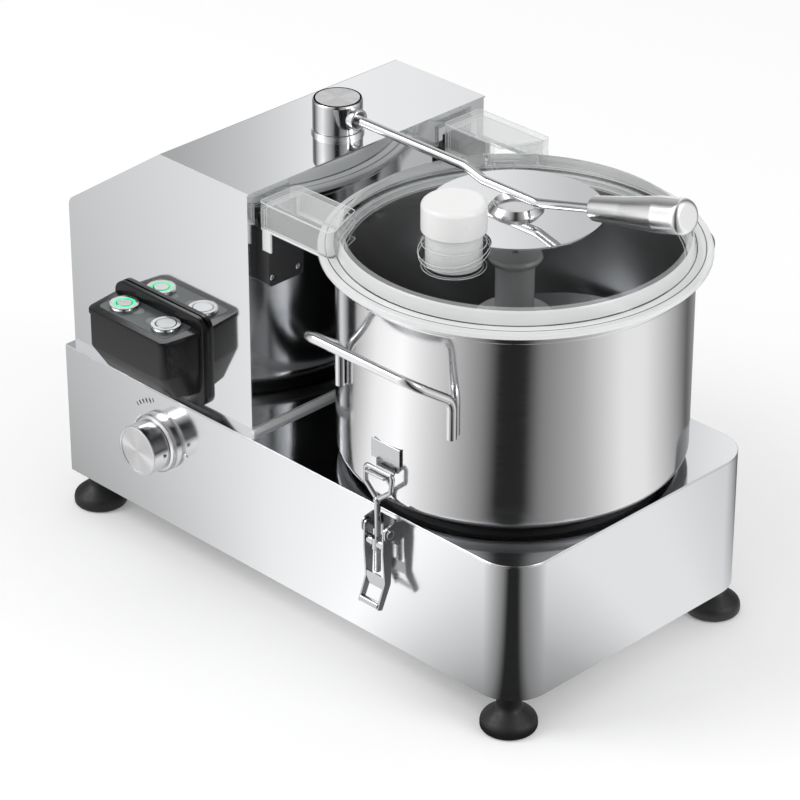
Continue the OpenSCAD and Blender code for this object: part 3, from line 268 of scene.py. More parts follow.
# the inside's darker colour is painted shade
bowlLook = {
    "color": (0.80, 0.80, 0.81), "roughness": (0.10, 0.16), "grainSize": 14.0, "grainScale": (2, 2, 80),
    "bump": 0.008, "insideShadeColor": (0.30, 0.30, 0.31), "insideRough": 0.22, "insideRadius": 0.1402,
    "insideFrom": topZ + 0.0062,
}
finish = {name: makeSteel(name, look) for name, look in steelLooks.items()}
finish["bowlSteel"] = makeBowl("bowlSteel", bowlLook)
finish.update({name: makePlastic(name, look) for name, look in plasticLooks.items()})


def materialOut(tree):
    return next(n for n in tree.nodes if n.type == "OUTPUT_MATERIAL")


def makeClear(name, look):
    # clear plastic: see-through, glossy at a slant, milky in the arms, white in the rim wall and the flange
    material, tree, shader = startMaterial(name)
    shader.inputs["Roughness"].default_value = look["roughness"]
    clear = addNode(tree, "ShaderNodeBsdfTransparent", {"Color": (*look["color"], 1)})
    gloss = addNode(tree, "ShaderNodeBsdfGlossy", {"Color": (1, 1, 1, 1), "Roughness": look["roughness"]})
    slant = addNode(tree, "ShaderNodeLayerWeight", {"Blend": 0.5})
    steep = calc(tree, "POWER", slant.outputs["Facing"], look["slant"])
    shine = calc(tree, "MULTIPLY_ADD", steep, look["shine"], look["leastShine"])
    shiny = blendShaders(tree, shine, clear.outputs[0], gloss.outputs[0])
    radius, height = roundBowl(tree, look["flangeTop"])
    onFlange = calc(tree, "LESS_THAN", height, look["flangeHigh"])
    nearWall = calc(tree, "LESS_THAN", radius, look["wallTo"])
    inWall = calc(tree, "MULTIPLY", nearWall, calc(tree, "LESS_THAN", height, look["wallHigh"]))
    white = addNode(tree, "ShaderNodeMapRange", {"To Min": look["armMilk"], "To Max": look["whiteMilk"]})
    tree.links.new(calc(tree, "MAXIMUM", onFlange, inWall), white.inputs["Value"])
    outside = calc(tree, "GREATER_THAN", radius, look["wallFrom"])
    milk = calc(tree, "MULTIPLY", outside, white.outputs["Result"])
    # painted shade: two fine dark rings round the flange stand in for the shade of its grooves, which the
    # solid doesn't have
    rings = [calc(tree, "COMPARE", radius, grooveAt, look["grooveHalf"]) for grooveAt in look["grooves"]]
    low = calc(tree, "LESS_THAN", height, look["grooveHigh"])
    grooveShadeMask = calc(tree, "MULTIPLY", calc(tree, "MAXIMUM", *rings), low)
    tree.links.new(blendColors(tree, grooveShadeMask, look["milk"], look["grooveShade"]), shader.inputs["Base Color"])
    body = blendShaders(tree, milk, shiny, shader.outputs[0])
    tree.links.new(body, materialOut(tree).inputs["Surface"])
    return material


def makeEdgeHighlight(name, look):
    # painted highlight along the rounded edge of clear plastic: a pale line that lets some of what lies
    # behind it through
    material, tree, shader = startMaterial(name)
    shader.inputs["Base Color"].default_value = (*look["color"], 1)
    shader.inputs["Roughness"].default_value = look["roughness"]
    clear = addNode(tree, "ShaderNodeBsdfTransparent")
    body = blendShaders(tree, look["amount"], clear.outputs[0], shader.outputs[0])
    tree.links.new(body, materialOut(tree).inputs["Surface"])
    return material


def makeGlow(name, look):
    material, tree, shader = startMaterial(name)
    shader.inputs["Base Color"].default_value = (*look["color"], 1)
    shader.inputs["Emission Color"].default_value = (*look["color"], 1)
    shader.inputs["Emission Strength"].default_value = look["strength"]
    grain = noiseOn(tree, (1, 1, 1), look["grainSize"])
    tree.links.new(spread(tree, grain, *look["roughness"]), shader.inputs["Roughness"])
    return material


# radii are from the bowl's axis, and heights from the top of the lid's flange
finish["lidClear"] = makeClear("lidClear", {
    "color": (0.985, 0.99, 0.99), "roughness": 0.02, "slant": 5.0, "shine": 0.4, "leastShine": 0.006,
    "milk": (0.90, 0.91, 0.91), "whiteMilk": 0.80, "armMilk": 0.26,
    "flangeTop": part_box("lid_gasket")[1][2] + 0.005, "flangeHigh": 0.0003,
    "wallFrom": 0.1338, "wallTo": 0.1402, "wallHigh": 0.0112,
    # the dark colour of the groove rings is painted shade
    "grooves": (0.1408, 0.1480), "grooveHalf": 0.0005, "grooveHigh": 0.0015, "grooveShade": (0.10, 0.105, 0.105),
})
# painted highlight: the pale lines along the lid's edges
finish["lidEdgeHighlight"] = makeEdgeHighlight("lidEdgeHighlight", {"color": (0.93, 0.94, 0.94), "roughness": 0.1, "amount": 0.55})
finish["ringGreen"] = makeGlow("ringGreen", {
    "color": (0.04, 0.75, 0.28), "strength": 0.8, "roughness": (0.2, 0.3), "grainSize": 300.0})
print("stage: materials,", len(finish))

# pieces from the solids: lengths in metres, angles in degrees
meshing = {"weld": 0.000002, "sharpFrom": 32, "flatWithin": 0.2, "builtSharpFrom": 30, "flatWeight": 100}


def finishPiece(obj, body, stands=()):
    if stands:
        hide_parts(*stands)
    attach(obj, body)


def linkMesh(name, mesh, material):
    obj = bpy.data.objects.new(name, mesh)
    bpy.context.scene.collection.objects.link(obj)
    mesh.materials.clear()
    mesh.materials.append(material)
    return obj


def sharpen(mesh, degrees):
    # joins the loose triangles and keeps the edges that are really sharp
    work = bmesh.new()
    work.from_mesh(mesh)
    bmesh.ops.remove_doubles(work, verts=work.verts, dist=meshing["weld"])
    limit = math.radians(degrees)
    for face in work.faces:
        face.smooth = True
    for edge in work.edges:
        edge.smooth = len(edge.link_faces) == 2 and edge.calc_face_angle(0) < limit
    work.to_mesh(mesh)
    work.free()


def joinFlats(mesh):
    # flat faces lose the triangles they came in, so that a bevel has room
    work = bmesh.new()
    work.from_mesh(mesh)
    limit = math.radians(meshing["flatWithin"])
    bmesh.ops.dissolve_limit(work, angle_limit=limit, verts=work.verts, edges=work.edges)
    for edge in work.edges:
        edge.smooth = True
    work.to_mesh(mesh)
    work.free()


def dressSolid(node, pieceName, material):
    source = cad[node]
    mesh = source.data.copy()
    mesh.name = pieceName
    sharpen(mesh, meshing["sharpFrom"])
    obj = linkMesh(pieceName, mesh, finish[material])
    if node in softEdges:
        joinFlats(mesh)
        bevel = obj.modifiers.new("softEdges", "BEVEL")
        bevel.width, bevel.segments = softEdges[node]
        bevel.limit_method = "ANGLE"
        bevel.angle_limit = math.radians(meshing["sharpFrom"])
    weighted = obj.modifiers.new("evenNormals", "WEIGHTED_NORMAL")
    weighted.keep_sharp = True
    weighted.weight = meshing["flatWeight"]
    finishPiece(obj, source["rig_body"], (node,))


# width and steps of the small rounding that sheet edges and turned edges have
softEdges = {
    "base_shell": (0.0009, 2), "base_top_plate": (0.0005, 2), "housing_cover": (0.0008, 2),
    "housing_wall": (0.0004, 2), "grip": (0.0028, 4), "speed_knob": (0.0006, 3), "latch_keepers": (0.0004, 2),
    "latch_brackets": (0.0003, 2), "front_latch_lever": (0.0003, 2), "back_latch_lever": (0.0003, 2),
    "start_button": (0.0004, 3), "stop_button": (0.0004, 3),
}
dressed = {
    "base_shell": ("baseShell", "baseSteel"),
    "base_top_plate": ("baseTopPlate", "topSteel"),
    "bottom_cover": ("bottomCover", "zincSteel"),
    "feet": ("rubberFeet", "footRubber"),
    "housing_cover": ("housingCover", "housingSteel"),
    "housing_wall": ("housingWall", "wallSteel"),
    "wall_strip": ("wallStrip", "stripPlastic"),
    "cable_gland": ("cableInlet", "blackPlastic"),
    "switch_gasket": ("switchGasket", "footRubber"),
    "button_bezels": ("buttonBezels", "rodSteel"),
    "start_light_ring": ("startLightRing", "ringGreen"),
    "start_button": ("startCap", "capSteel"),
    "stop_button": ("stopCap", "capSteel"),
    "dial_ring": ("dialRing", "rodSteel"),
    "speed_knob": ("speedKnob", "knobSteel"),
    "knob_set_screw": ("knobSetScrew", "zincSteel"),
    "bowl_seat_ring": ("bowlSeatRing", "seatRubber"),
    "bowl": ("bowlShell", "bowlSteel"),
    "bowl_handles": ("bowlHandles", "rodSteel"),
    "latch_keepers": ("latchKeepers", "stampedSteel"),
    "lid_brackets": ("lidBrackets", "blackPlastic"),
    "bracket_screws": ("bracketScrews", "rodSteel"),
    "latch_brackets": ("latchBrackets", "stampedSteel"),
    "latch_rivets": ("latchRivets", "latchWire"),
    "front_latch_lever": ("frontLatchLever", "stampedSteel"),
    "front_latch_bail": ("frontLatchBail", "latchWire"),
    "front_latch_nut": ("frontLatchNut", "latchWire"),
    "back_latch_lever": ("backLatchLever", "stampedSteel"),
    "back_latch_bail": ("backLatchBail", "latchWire"),
    "back_latch_nut": ("backLatchNut", "latchWire"),
    "lid": ("lidShell", "lidClear"),
    "lid_gasket": ("lidGasket", "footRubber"),
    "lid_disc": ("lidDisc", "topSteel"),
    "lid_cup": ("lidCup", "rodSteel"),
    "feed_cap": ("feedCap", "capPlastic"),
    "post_ring": ("postRing", "gripSteel"),
    "post_cap": ("postCap", "turnedSteel"),
    "rod_collar": ("rodCollar", "rodSteel"),
    "lock_rod": ("lockRod", "rodSteel"),
    "grip": ("gripHandle", "gripSteel"),
    "cutter_hub": ("cutterHub", "hubPlastic"),
    "hub_cap": ("hubCap", "hubPlastic"),
    "lower_blade": ("lowerBlade", "bladeSteel"),
    "upper_blade": ("upperBlade", "bladeSteel"),
}
for node, (pieceName, material) in dressed.items():
    dressSolid(node, pieceName, material)

# the bowl's bottom corner is pressed wide in the solid, and turned to a tighter radius here;
# slack and least keep float noise and the corner's very centre out of it
bowlFoot = {"bodyRadius": 0.141, "pressed": 0.022, "turned": 0.011, "slack": 0.00001, "least": 0.0001}


def tightenFoot(mesh):
    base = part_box("bowl")[0][2]
    pressed, turned = bowlFoot["pressed"], bowlFoot["turned"]
    for vertex in mesh.vertices:
        out = Vector((vertex.co.x - bowlMid.x, vertex.co.y - bowlMid.y))
        # from the centre of the pressed corner, outwards and down
        slope = Vector((out.length - bowlFoot["bodyRadius"] + pressed, base + pressed - vertex.co.z))
        if min(slope) < -bowlFoot["slack"] or slope.length < bowlFoot["least"]:
            continue
        slope = slope.normalized() * (slope.length - pressed + turned)
        radius = bowlFoot["bodyRadius"] - turned + slope.x
        vertex.co.x = bowlMid.x + out.x / out.length * radius
        vertex.co.y = bowlMid.y + out.y / out.length * radius
        vertex.co.z = base + turned - slope.y


tightenFoot(bpy.data.objects["bowlShell"].data)

# solids that stay inside the machine keep their own mesh and get a finish
hidden = {
    "foot_screws": "zincSteel", "potentiometer": "zincSteel", "control_board": "boardGreen",
    "pivot_bush": "bushBrass", "arm_cam": "blackPlastic", "interlock_switch": "blackPlastic",
    "drive_shaft": "rodSteel", "driven_pulley": "castAlloy", "bearing_housing": "castAlloy",
    "shaft_bearings": "rodSteel", "motor": "zincSteel", "motor_shaft": "rodSteel",
    "motor_pulley": "castAlloy", "drive_belt": "footRubber",
}
for node, material in hidden.items():
    cad[node].data.materials.clear()
    cad[node].data.materials.append(finish[material])
print("stage: solids dressed,", len(dressed), "and", len(hidden), "inner ones")

# switch box, its film and the pads beside the buttons


def roundedOutline(corners, steps):
    # outline through (x, y, radius) corners, each an arc of this many steps
    count = len(corners)
    outline = []
    for k in range(count):
        x, y, radius = corners[k]
        corner = Vector((x, y))
        before = (Vector(corners[k - 1][:2]) - corner).normalized()
        after = (Vector(corners[(k + 1) % count][:2]) - corner).normalized()
        half = before.angle(after) / 2
        centre = corner + (before + after).normalized() * radius / math.sin(half)
        start = corner + before * radius / math.tan(half) - centre
        end = corner + after * radius / math.tan(half) - centre
        first = math.atan2(start.y, start.x)
        turn = (math.atan2(end.y, end.x) - first + math.pi) % math.tau - math.pi
        for i in range(steps + 1):
            angle = first + turn * i / steps
            outline.append(centre + radius * Vector((math.cos(angle), math.sin(angle))))
    return outline


def loftMesh(name, stacks):
    # each stack is a list of rings of points, closed at both ends
    work = bmesh.new()
    for rings in stacks:
        rows = [[work.verts.new(point) for point in ring] for ring in rings]
        size = len(rows[0])
        for low, high in zip(rows, rows[1:]):
            for k in range(size):
                work.faces.new((low[k - 1], low[k], high[k], high[k - 1]))
        work.faces.new(rows[0])
        work.faces.new(rows[-1])
    bmesh.ops.recalc_face_normals(work, faces=work.faces)
    mesh = bpy.data.meshes.new(name)
    work.to_mesh(mesh)
    work.free()
    sharpen(mesh, meshing["builtSharpFrom"])
    return mesh


boxShape = {
    "sideRoom": 0.003, "taper": 0.006, "rim": 0.0042, "lip": 0.0015, "rimCorner": 0.0085, "rimGap": 0.0006,
    "setBack": 0.0016, "corner": 0.0055, "backCorner": 0.0002, "cornerSteps": 6,
    "step": 0.0415, "foot": 0.0175, "footBack": 0.0150,
    "flangeThick": 0.005, "flangeCorner": 0.010, "flangeRise": 0.004,
    "panelCorner": 0.0055, "panelEdge": 0.0001, "panelSteps": 8,
    "padLong": 0.0075, "padWide": 0.0052, "padCorner": 0.005, "padFrom": 0.0125, "padForward": 0.0015,
    "padSunk": 0.0002, "padProud": 0.00015,
}
boxLow, boxHigh = [Vector(c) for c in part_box("switch_box")]
panelLow, panelHigh = [Vector(c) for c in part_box("switch_panel")]
boxMid = (boxLow + boxHigh) / 2
boxHalf = (boxHigh - boxLow) / 2
boxTop = panelHigh.z
bodyHalf = boxHalf.x - boxShape["sideRoom"]
rimHalf = bodyHalf + boxShape["lip"]
bodyFace = boxLow.y + boxShape["setBack"]
footFace = bodyFace + boxShape["footBack"]
stepZ = topZ + boxShape["step"]
footZ = topZ + boxShape["foot"]
rimZ = boxTop - boxShape["rim"]


def boxRing(half, taper, face, radius, z):
    # one level of the box: a trapezium whose front corners are round
    corners = [
        (boxMid.x - half, boxHigh.y, boxShape["backCorner"]),
        (boxMid.x + half, boxHigh.y, boxShape["backCorner"]),
        (boxMid.x + half - taper, face, radius),
        (boxMid.x - half + taper, face, radius)]
    return [Vector((point.x, point.y, z)) for point in roundedOutline(corners, boxShape["cornerSteps"])]


# the rim, as inset and height
rimLevels = [
    (0.001, boxTop - 0.0003), (0.0003, boxTop - 0.0006), (0.0, boxTop - 0.0014), (0.0, rimZ),
    (0.0008, rimZ - 0.0005),
]
# the body and its sloping foot, as inset, extra taper, front face and height
bodyLevels = [
    (0.0, 0.0, bodyFace, rimZ - boxShape["rimGap"]),
    (0.0, 0.0, bodyFace, stepZ + 0.001),
    (0.0001, 0.0002, bodyFace + 0.0008, stepZ - 0.001),
    (0.0012, 0.0018, footFace - 0.001, footZ + 0.002),
    (0.003, 0.002, footFace + 0.001, footZ),
]
bodyRings = [
    boxRing(rimHalf - inset, boxShape["taper"], boxLow.y + inset, boxShape["rimCorner"], z)
    for inset, z in rimLevels]
bodyRings += [
    boxRing(bodyHalf - inset, boxShape["taper"] + more, face, boxShape["corner"], z)
    for inset, more, face, z in bodyLevels]


def plateOutline(half, inset, radius, steps):
    x, y = half[0] - inset, half[1] - inset
    return roundedOutline([(-x, -y, radius), (x, -y, radius), (x, y, radius), (-x, y, radius)], steps)


# the wall flange, as inset and distance in front of its back
flangeHalf = (boxHalf.x, boxHalf.z + boxShape["flangeRise"] / 2)
flangeMidZ = boxMid.z + boxShape["flangeRise"] / 2
flangeThick = boxShape["flangeThick"]
flangeLevels = [(0, 0), (0, flangeThick - 0.0012), (0.0004, flangeThick - 0.0004), (0.0014, flangeThick)]
flangeRings = [
    [Vector((boxMid.x + point.x, boxHigh.y - forward, flangeMidZ + point.y))
     for point in plateOutline(flangeHalf, inset, boxShape["flangeCorner"] - inset, boxShape["cornerSteps"])]
    for inset, forward in flangeLevels]
boxPiece = linkMesh("switchBox", loftMesh("switchBox", [bodyRings, flangeRings]), finish["boxPlastic"])
finishPiece(boxPiece, "stand", ("switch_box",))


def plateRings(middle, half, radius, z0, z1):
    # a flat plate whose upper edge is a little broken
    edge = boxShape["panelEdge"]
    return [
        [Vector((middle[0] + point.x, middle[1] + point.y, z))
         for point in plateOutline(half, inset, radius, boxShape["panelSteps"])]
        for inset, z in ((0, z0), (0, z1 - edge), (edge, z1))]


panelMid = (panelLow + panelHigh) / 2
panelHalf = (panelHigh - panelLow) / 2
panelRings = plateRings(panelMid, panelHalf, boxShape["panelCorner"], panelLow.z, boxTop)
panelPiece = linkMesh("switchPanel", loftMesh("switchPanel", [panelRings]), finish["panelFilm"])
finishPiece(panelPiece, "stand", ("switch_panel",))
padStacks = [
    plateRings((panelMid.x + side * boxShape["padFrom"], panelMid.y - side * boxShape["padForward"]),
               (boxShape["padLong"], boxShape["padWide"]), boxShape["padCorner"],
               boxTop - boxShape["padSunk"], boxTop + boxShape["padProud"])
    for side in (-1, 1)]
padPiece = linkMesh("buttonPads", loftMesh("buttonPads", padStacks), finish["padFilm"])
finishPiece(padPiece, "stand")
print("stage: switch box built")

# geometry node pieces
wireSteps = {"threadRing": 32, "threadWire": 8, "tickArc": 64, "edgeWire": 6}


def newTree(name, inputs, fed=False):
    tree = bpy.data.node_groups.new(name, "GeometryNodeTree")
    tree.interface.new_socket("Geometry", in_out="OUTPUT", socket_type="NodeSocketGeometry")
    if fed:
        tree.interface.new_socket("Geometry", in_out="INPUT", socket_type="NodeSocketGeometry")
    for label, value in inputs.items():
        kind = "NodeSocketInt" if isinstance(value, int) else "NodeSocketFloat"
        socket = tree.interface.new_socket(label, in_out="INPUT", socket_type=kind)
        socket.default_value = value
    return tree, tree.nodes.new("NodeGroupInput"), tree.nodes.new("NodeGroupOutput")


def closeTree(tree, source, groupOut, material):
    real = tree.nodes.new("GeometryNodeRealizeInstances")
    paint = tree.nodes.new("GeometryNodeSetMaterial")
    paint.inputs["Material"].default_value = material
    tree.links.new(source, real.inputs["Geometry"])
    tree.links.new(real.outputs["Geometry"], paint.inputs["Geometry"])
    tree.links.new(paint.outputs["Geometry"], groupOut.inputs["Geometry"])


def growMesh(tree, values, material, ground=None):
    # runs the tree once, on an empty mesh or on the ground it is given, and hands back a plain mesh
    carrier = bpy.data.objects.new("carrier", ground or bpy.data.meshes.new("carrier"))
    bpy.context.scene.collection.objects.link(carrier)
    modifier = carrier.modifiers.new("grow", "NODES")
    modifier.node_group = tree
    for socket in tree.interface.items_tree:
        if socket.in_out == "INPUT" and socket.name in values:
            modifier[socket.identifier] = values[socket.name]
    bpy.context.view_layer.update()
    evaluated = carrier.evaluated_get(bpy.context.evaluated_depsgraph_get())
    mesh = bpy.data.meshes.new_from_object(evaluated)
    carrier.modifiers.remove(modifier)
    bpy.data.objects.remove(carrier)
    mesh.materials.clear()
    mesh.materials.append(material)
    return mesh


def joinMeshes(name, parts, material):
    # parts are (mesh, matrix) pairs, joined into one mesh in the row frame
    work = bmesh.new()
    for mesh, matrix in parts:
        copy = mesh.copy()
        copy.transform(matrix)
        work.from_mesh(copy)
        bpy.data.meshes.remove(copy)
    joined = bpy.data.meshes.new(name)
    work.to_mesh(joined)
    work.free()
    for polygon in joined.polygons:
        polygon.use_smooth = True
    return linkMesh(name, joined, material)


def ringTree(name, material):
    # thread: small rings stacked along Z
    tree, groupIn, groupOut = newTree(name, {"count": 12, "pitch": 0.001, "radius": 0.0025, "wire": 0.0003})
    line = addNode(tree, "GeometryNodeMeshLine", mode="OFFSET")
    step = addNode(tree, "ShaderNodeCombineXYZ")
    circle = addNode(tree, "GeometryNodeCurvePrimitiveCircle", {"Resolution": wireSteps["threadRing"]})
    wire = addNode(tree, "GeometryNodeCurvePrimitiveCircle", {"Resolution": wireSteps["threadWire"]})
    sweep = addNode(tree, "GeometryNodeCurveToMesh")
    put = addNode(tree, "GeometryNodeInstanceOnPoints")
    tree.links.new(groupIn.outputs["count"], line.inputs["Count"])
    tree.links.new(groupIn.outputs["pitch"], step.inputs["Z"])
    tree.links.new(step.outputs[0], line.inputs["Offset"])
    tree.links.new(groupIn.outputs["radius"], circle.inputs["Radius"])
    tree.links.new(groupIn.outputs["wire"], wire.inputs["Radius"])
    tree.links.new(circle.outputs["Curve"], sweep.inputs["Curve"])
    tree.links.new(wire.outputs["Curve"], sweep.inputs["Profile Curve"])
    tree.links.new(line.outputs["Mesh"], put.inputs["Points"])
    tree.links.new(sweep.outputs["Mesh"], put.inputs["Instance"])
    closeTree(tree, put.outputs["Instances"], groupOut, material)
    return tree


def tickTree(name, material):
    # bars that point outwards around part of a circle, in the XY plane
    tree, groupIn, groupOut = newTree(name, {
        "count": 11, "radius": 0.03, "start": 0.0, "sweep": 5.0, "length": 0.003, "width": 0.0006,
        "thick": 0.0002})
    arc = addNode(tree, "GeometryNodeCurveArc", {"Resolution": wireSteps["tickArc"]}, mode="RADIUS")
    points = addNode(tree, "GeometryNodeCurveToPoints", mode="COUNT")
    cube = addNode(tree, "GeometryNodeMeshCube")
    size = addNode(tree, "ShaderNodeCombineXYZ")
    put = addNode(tree, "GeometryNodeInstanceOnPoints")
    tree.links.new(groupIn.outputs["radius"], arc.inputs["Radius"])
    tree.links.new(groupIn.outputs["start"], arc.inputs["Start Angle"])
    tree.links.new(groupIn.outputs["sweep"], arc.inputs["Sweep Angle"])
    tree.links.new(arc.outputs["Curve"], points.inputs["Curve"])
    tree.links.new(groupIn.outputs["count"], points.inputs["Count"])
    tree.links.new(groupIn.outputs["width"], size.inputs["X"])
    tree.links.new(groupIn.outputs["length"], size.inputs["Y"])
    tree.links.new(groupIn.outputs["thick"], size.inputs["Z"])
    tree.links.new(size.outputs[0], cube.inputs["Size"])
    align = addNode(tree, "FunctionNodeAlignRotationToVector", axis="X")
    tree.links.new(points.outputs["Tangent"], align.inputs["Vector"])
    tree.links.new(points.outputs["Points"], put.inputs["Points"])
    tree.links.new(cube.outputs["Mesh"], put.inputs["Instance"])
    tree.links.new(align.outputs["Rotation"], put.inputs["Rotation"])
    closeTree(tree, put.outputs["Instances"], groupOut, material)
    return tree


def edgeTree(name, material):
    # a fine round wire along each sharp edge of the mesh it is fed
    tree, groupIn, groupOut = newTree(name, {"wire": 0.0004, "leastAngle": 0.6}, fed=True)
    angle = addNode(tree, "GeometryNodeInputMeshEdgeAngle")
    sharp = addNode(tree, "FunctionNodeCompare", operation="GREATER_THAN")
    lines = addNode(tree, "GeometryNodeMeshToCurve")
    wire = addNode(tree, "GeometryNodeCurvePrimitiveCircle", {"Resolution": wireSteps["edgeWire"]})
    sweep = addNode(tree, "GeometryNodeCurveToMesh")
    tree.links.new(angle.outputs["Unsigned Angle"], sharp.inputs["A"])
    tree.links.new(groupIn.outputs["leastAngle"], sharp.inputs["B"])
    tree.links.new(groupIn.outputs["Geometry"], lines.inputs["Mesh"])
    tree.links.new(sharp.outputs["Result"], lines.inputs["Selection"])
    tree.links.new(groupIn.outputs["wire"], wire.inputs["Radius"])
    tree.links.new(lines.outputs["Curve"], sweep.inputs["Curve"])
    tree.links.new(wire.outputs["Curve"], sweep.inputs["Profile Curve"])
    closeTree(tree, sweep.outputs["Mesh"], groupOut, material)
    return tree


# pale lines that light draws along the edges of the clear lid
lidHighlightLines = {"wire": 0.00038, "leastAngle": 0.6}
lidGround = bpy.data.objects["lidShell"].data.copy()
lidHighlightMesh = growMesh(edgeTree("lidEdgeHighlights", finish["lidEdgeHighlight"]), lidHighlightLines, finish["lidEdgeHighlight"], lidGround)
highlightPiece = joinMeshes("lidEdgeHighlights", [(lidHighlightMesh, Matrix())], finish["lidEdgeHighlight"])
finishPiece(highlightPiece, cad["lid"]["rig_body"])

# scale around the speed knob, on the front of the base
dialScale = {
    "count": 5, "radius": 0.036, "start": math.radians(102), "sweep": math.radians(30), "length": 0.0036,
    "width": 0.0009, "thick": 0.0002,
}
knobLow, knobHigh = [Vector(c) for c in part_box("speed_knob")]
knobMid = (knobLow + knobHigh) / 2
knobMid.y = frontY
facing = Matrix.Rotation(math.radians(90), 4, "X")
ticks = growMesh(tickTree("dialTicks", finish["markInk"]), dialScale, finish["markInk"])
scaleMarks = joinMeshes("dialScale", [(ticks, Matrix.Translation(knobMid) @ facing)], finish["markInk"])
finishPiece(scaleMarks, "stand")

# knurled band round the knob's ring, which stands a little in front of the base
knurl = {
    "count": 90, "radius": 0.0253, "start": 0.0, "sweep": math.tau, "length": 0.0009, "width": 0.0009,
    "thick": 0.0042,
}
knurlLift = 0.0032
knurlPlace = Matrix.Translation(knobMid - Vector((0, knurlLift, 0)))
teeth = growMesh(tickTree("knobKnurl", finish["rodSteel"]), knurl, finish["rodSteel"])
knurlBand = joinMeshes("dialRingKnurl", [(teeth, knurlPlace @ facing)], finish["rodSteel"])
finishPiece(knurlBand, "stand")

# thread on the lower end of each latch's shank
thread = {"count": 24, "pitch": 0.00125, "radius": 0.0025, "wire": 0.00032}
threadFrom = 0.0008
rings = growMesh(ringTree("shankThread", finish["rodSteel"]), thread, finish["rodSteel"])
for side in ("front", "back"):
    foot = sum((Vector(c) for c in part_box(side + "_latch_nut")), Vector()) / 2
    foot.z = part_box(side + "_latch_bail")[0][2] + threadFrom
    threadPiece = joinMeshes(side + "BailThread", [(rings, Matrix.Translation(foot))], finish["rodSteel"])
    finishPiece(threadPiece, side + "_bail")
print("stage: geometry node pieces grown")

# studio

studio = {
    "floorSize": 12.0,
    "floorColor": (0.86, 0.86, 0.86),
    "floorGlow": 0.16,
    "fill": 0.75,
    "cameraSide": 45.0,
    "lensMm": 163.09,
    "sensorMm": 36,
    "clipEnd": 50,
    "cameraPlace": (1.8346, -1.8385, 1.5960),
    "cameraTurn": (60.98, 0.0, 45.218),
}
lamps = {
    "keyLamp": {"place": (-1.6, -1.9, 2.6), "aim": (0, 0, 0.2), "size": (1.6, 1.6), "power": 36.0},
    "sideLamp": {"place": (2.4, 0.6, 1.8), "aim": (0, 0, 0.2), "size": (1.2, 1.6), "power": 16.0},
}
# lit panels and dark flags that metal sees round the machine, as degrees and glow:
# the degrees run from the camera's side, negative to its left
roomGlow = [
    (-180, 1.0), (-178.9, 1.12), (-177.6, 0.75), (-175.5, 0.42), (-168, 0.5), (-128, 0.1), (-90, 1.05),
    (-70, 1.25), (-50, 0.82), (-19, 0.27), (-10, 0.02), (5, 0.02), (14, 0.25), (38, 0.5), (64, 0.95),
    (80, 0.95), (129, 0.12), (168, 0.5), (173.8, 1.2), (175.2, 0.6), (177.6, 0.66), (179.2, 1.1), (180, 1.0),
]
glowTop = max(glow for degrees, glow in roomGlow)


def roomRamp(tree, vector, centre):
    # turns a place or a direction into the brightness that roomGlow has there, as a share of glowTop
    move = addNode(tree, "ShaderNodeMapping", {"Location": (-centre[0], -centre[1], 0)}, vector_type="POINT")
    side = math.radians(studio["cameraSide"])
    turn = addNode(tree, "ShaderNodeVectorRotate", {"Angle": side}, rotation_type="Z_AXIS")
    split = addNode(tree, "ShaderNodeSeparateXYZ")
    tree.links.new(vector, move.inputs["Vector"])
    tree.links.new(move.outputs["Vector"], turn.inputs["Vector"])
    tree.links.new(turn.outputs["Vector"], split.inputs["Vector"])
    angle = calc(tree, "ARCTAN2", split.outputs["Y"], split.outputs["X"])
    ramp = addNode(tree, "ShaderNodeValToRGB")
    tree.links.new(calc(tree, "MULTIPLY_ADD", angle, 1 / math.tau, 0.5), ramp.inputs["Fac"])
    stops = ramp.color_ramp.elements
    for k, (degrees, glow) in enumerate(roomGlow):
        place = (degrees + 180) / 360
        stop = stops[0] if k == 0 else stops[-1] if k == len(roomGlow) - 1 else stops.new(place)
        stop.position = place
        stop.color = (*([glow / glowTop] * 3), 1)
    return ramp.outputs["Color"]


def addPath(tree):
    # the light path, and a socket that is 1 on a ray that has met metal on its way and 0 on the camera's own
    path = addNode(tree, "ShaderNodeLightPath")
    return path, calc(tree, "MINIMUM", path.outputs["Glossy Depth"], 1.0)


def makeWorld():
    # white where the camera looks past the machine, a soft fill on matt surfaces, the room in metal
    world = bpy.data.worlds.new("studioWorld")
    bpy.context.scene.world = world
    world.use_nodes = True
    tree = world.node_tree
    tree.nodes.clear()
    path, metalRay = addPath(tree)
    way = addNode(tree, "ShaderNodeTexCoord")
    room = addNode(tree, "ShaderNodeBackground", {"Strength": glowTop})
    tree.links.new(roomRamp(tree, way.outputs["Generated"], (0, 0)), room.inputs["Color"])
    seenWhite = addNode(tree, "ShaderNodeBackground", {"Color": (1, 1, 1, 1), "Strength": 1.0})
    softFill = addNode(tree, "ShaderNodeBackground", {"Color": (1, 1, 1, 1), "Strength": studio["fill"]})
    seen = calc(tree, "MAXIMUM", path.outputs["Is Camera Ray"], path.outputs["Is Transmission Ray"])
    plain = blendShaders(tree, seen, softFill.outputs[0], seenWhite.outputs[0])
    out = addNode(tree, "ShaderNodeOutputWorld")
    tree.links.new(blendShaders(tree, metalRay, plain, room.outputs[0]), out.inputs["Surface"])


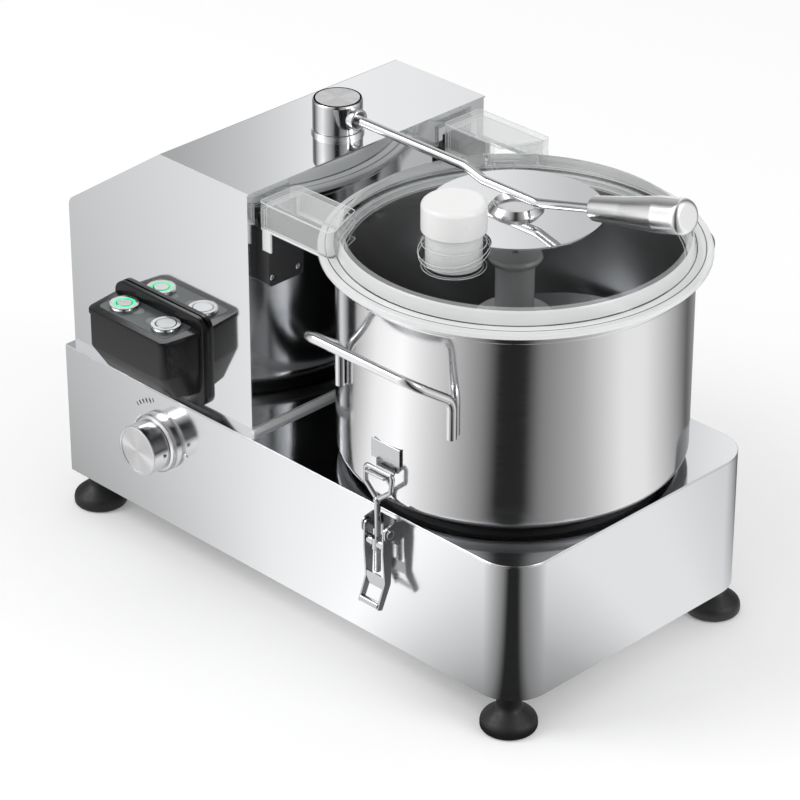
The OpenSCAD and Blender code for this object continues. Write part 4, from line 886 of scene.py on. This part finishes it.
def makeFloor():
    # a pale floor that keeps the shadow and that metal sees as the room
    material = bpy.data.materials.new("floorPale")
    material.use_nodes = True
    tree = material.node_tree
    tree.nodes.clear()
    matt = addNode(tree, "ShaderNodeBsdfDiffuse", {"Color": (*studio["floorColor"], 1)})
    lift = addNode(tree, "ShaderNodeEmission", {"Strength": studio["floorGlow"]})
    plain = addNode(tree, "ShaderNodeAddShader")
    tree.links.new(matt.outputs[0], plain.inputs[0])
    tree.links.new(lift.outputs[0], plain.inputs[1])
    metalRay = addPath(tree)[1]
    spot = addNode(tree, "ShaderNodeTexCoord")
    room = addNode(tree, "ShaderNodeEmission", {"Strength": glowTop})
    tree.links.new(roomRamp(tree, spot.outputs["Object"], bowlMid), room.inputs["Color"])
    out = addNode(tree, "ShaderNodeOutputMaterial")
    tree.links.new(blendShaders(tree, metalRay, plain.outputs[0], room.outputs[0]), out.inputs["Surface"])
    half = studio["floorSize"] / 2
    corners = [(-half, -half, 0), (half, -half, 0), (half, half, 0), (-half, half, 0)]
    mesh = bpy.data.meshes.new("studioFloor")
    mesh.from_pydata(corners, [], [(0, 1, 2, 3)])
    linkMesh("studioFloor", mesh, material)


def addLamp(name, look):
    lamp = bpy.data.lights.new(name, "AREA")
    lamp.shape = "RECTANGLE"
    lamp.size, lamp.size_y = look["size"]
    lamp.energy = look["power"]
    obj = bpy.data.objects.new(name, lamp)
    obj.location = look["place"]
    obj.rotation_euler = (Vector(look["aim"]) - Vector(look["place"])).to_track_quat("-Z", "Y").to_euler()
    bpy.context.scene.collection.objects.link(obj)


def addCamera():
    camera = bpy.data.cameras.new("photoCamera")
    camera.sensor_width = studio["sensorMm"]
    camera.lens = studio["lensMm"]
    camera.clip_end = studio["clipEnd"]
    obj = bpy.data.objects.new("photoCamera", camera)
    obj.location = studio["cameraPlace"]
    obj.rotation_euler = [math.radians(turn) for turn in studio["cameraTurn"]]
    bpy.context.scene.collection.objects.link(obj)
    bpy.context.scene.camera = obj


makeWorld()
makeFloor()
for name, look in lamps.items():
    addLamp(name, look)
addCamera()
bpy.context.scene.view_settings.view_transform = "Standard"
print("stage: studio set")
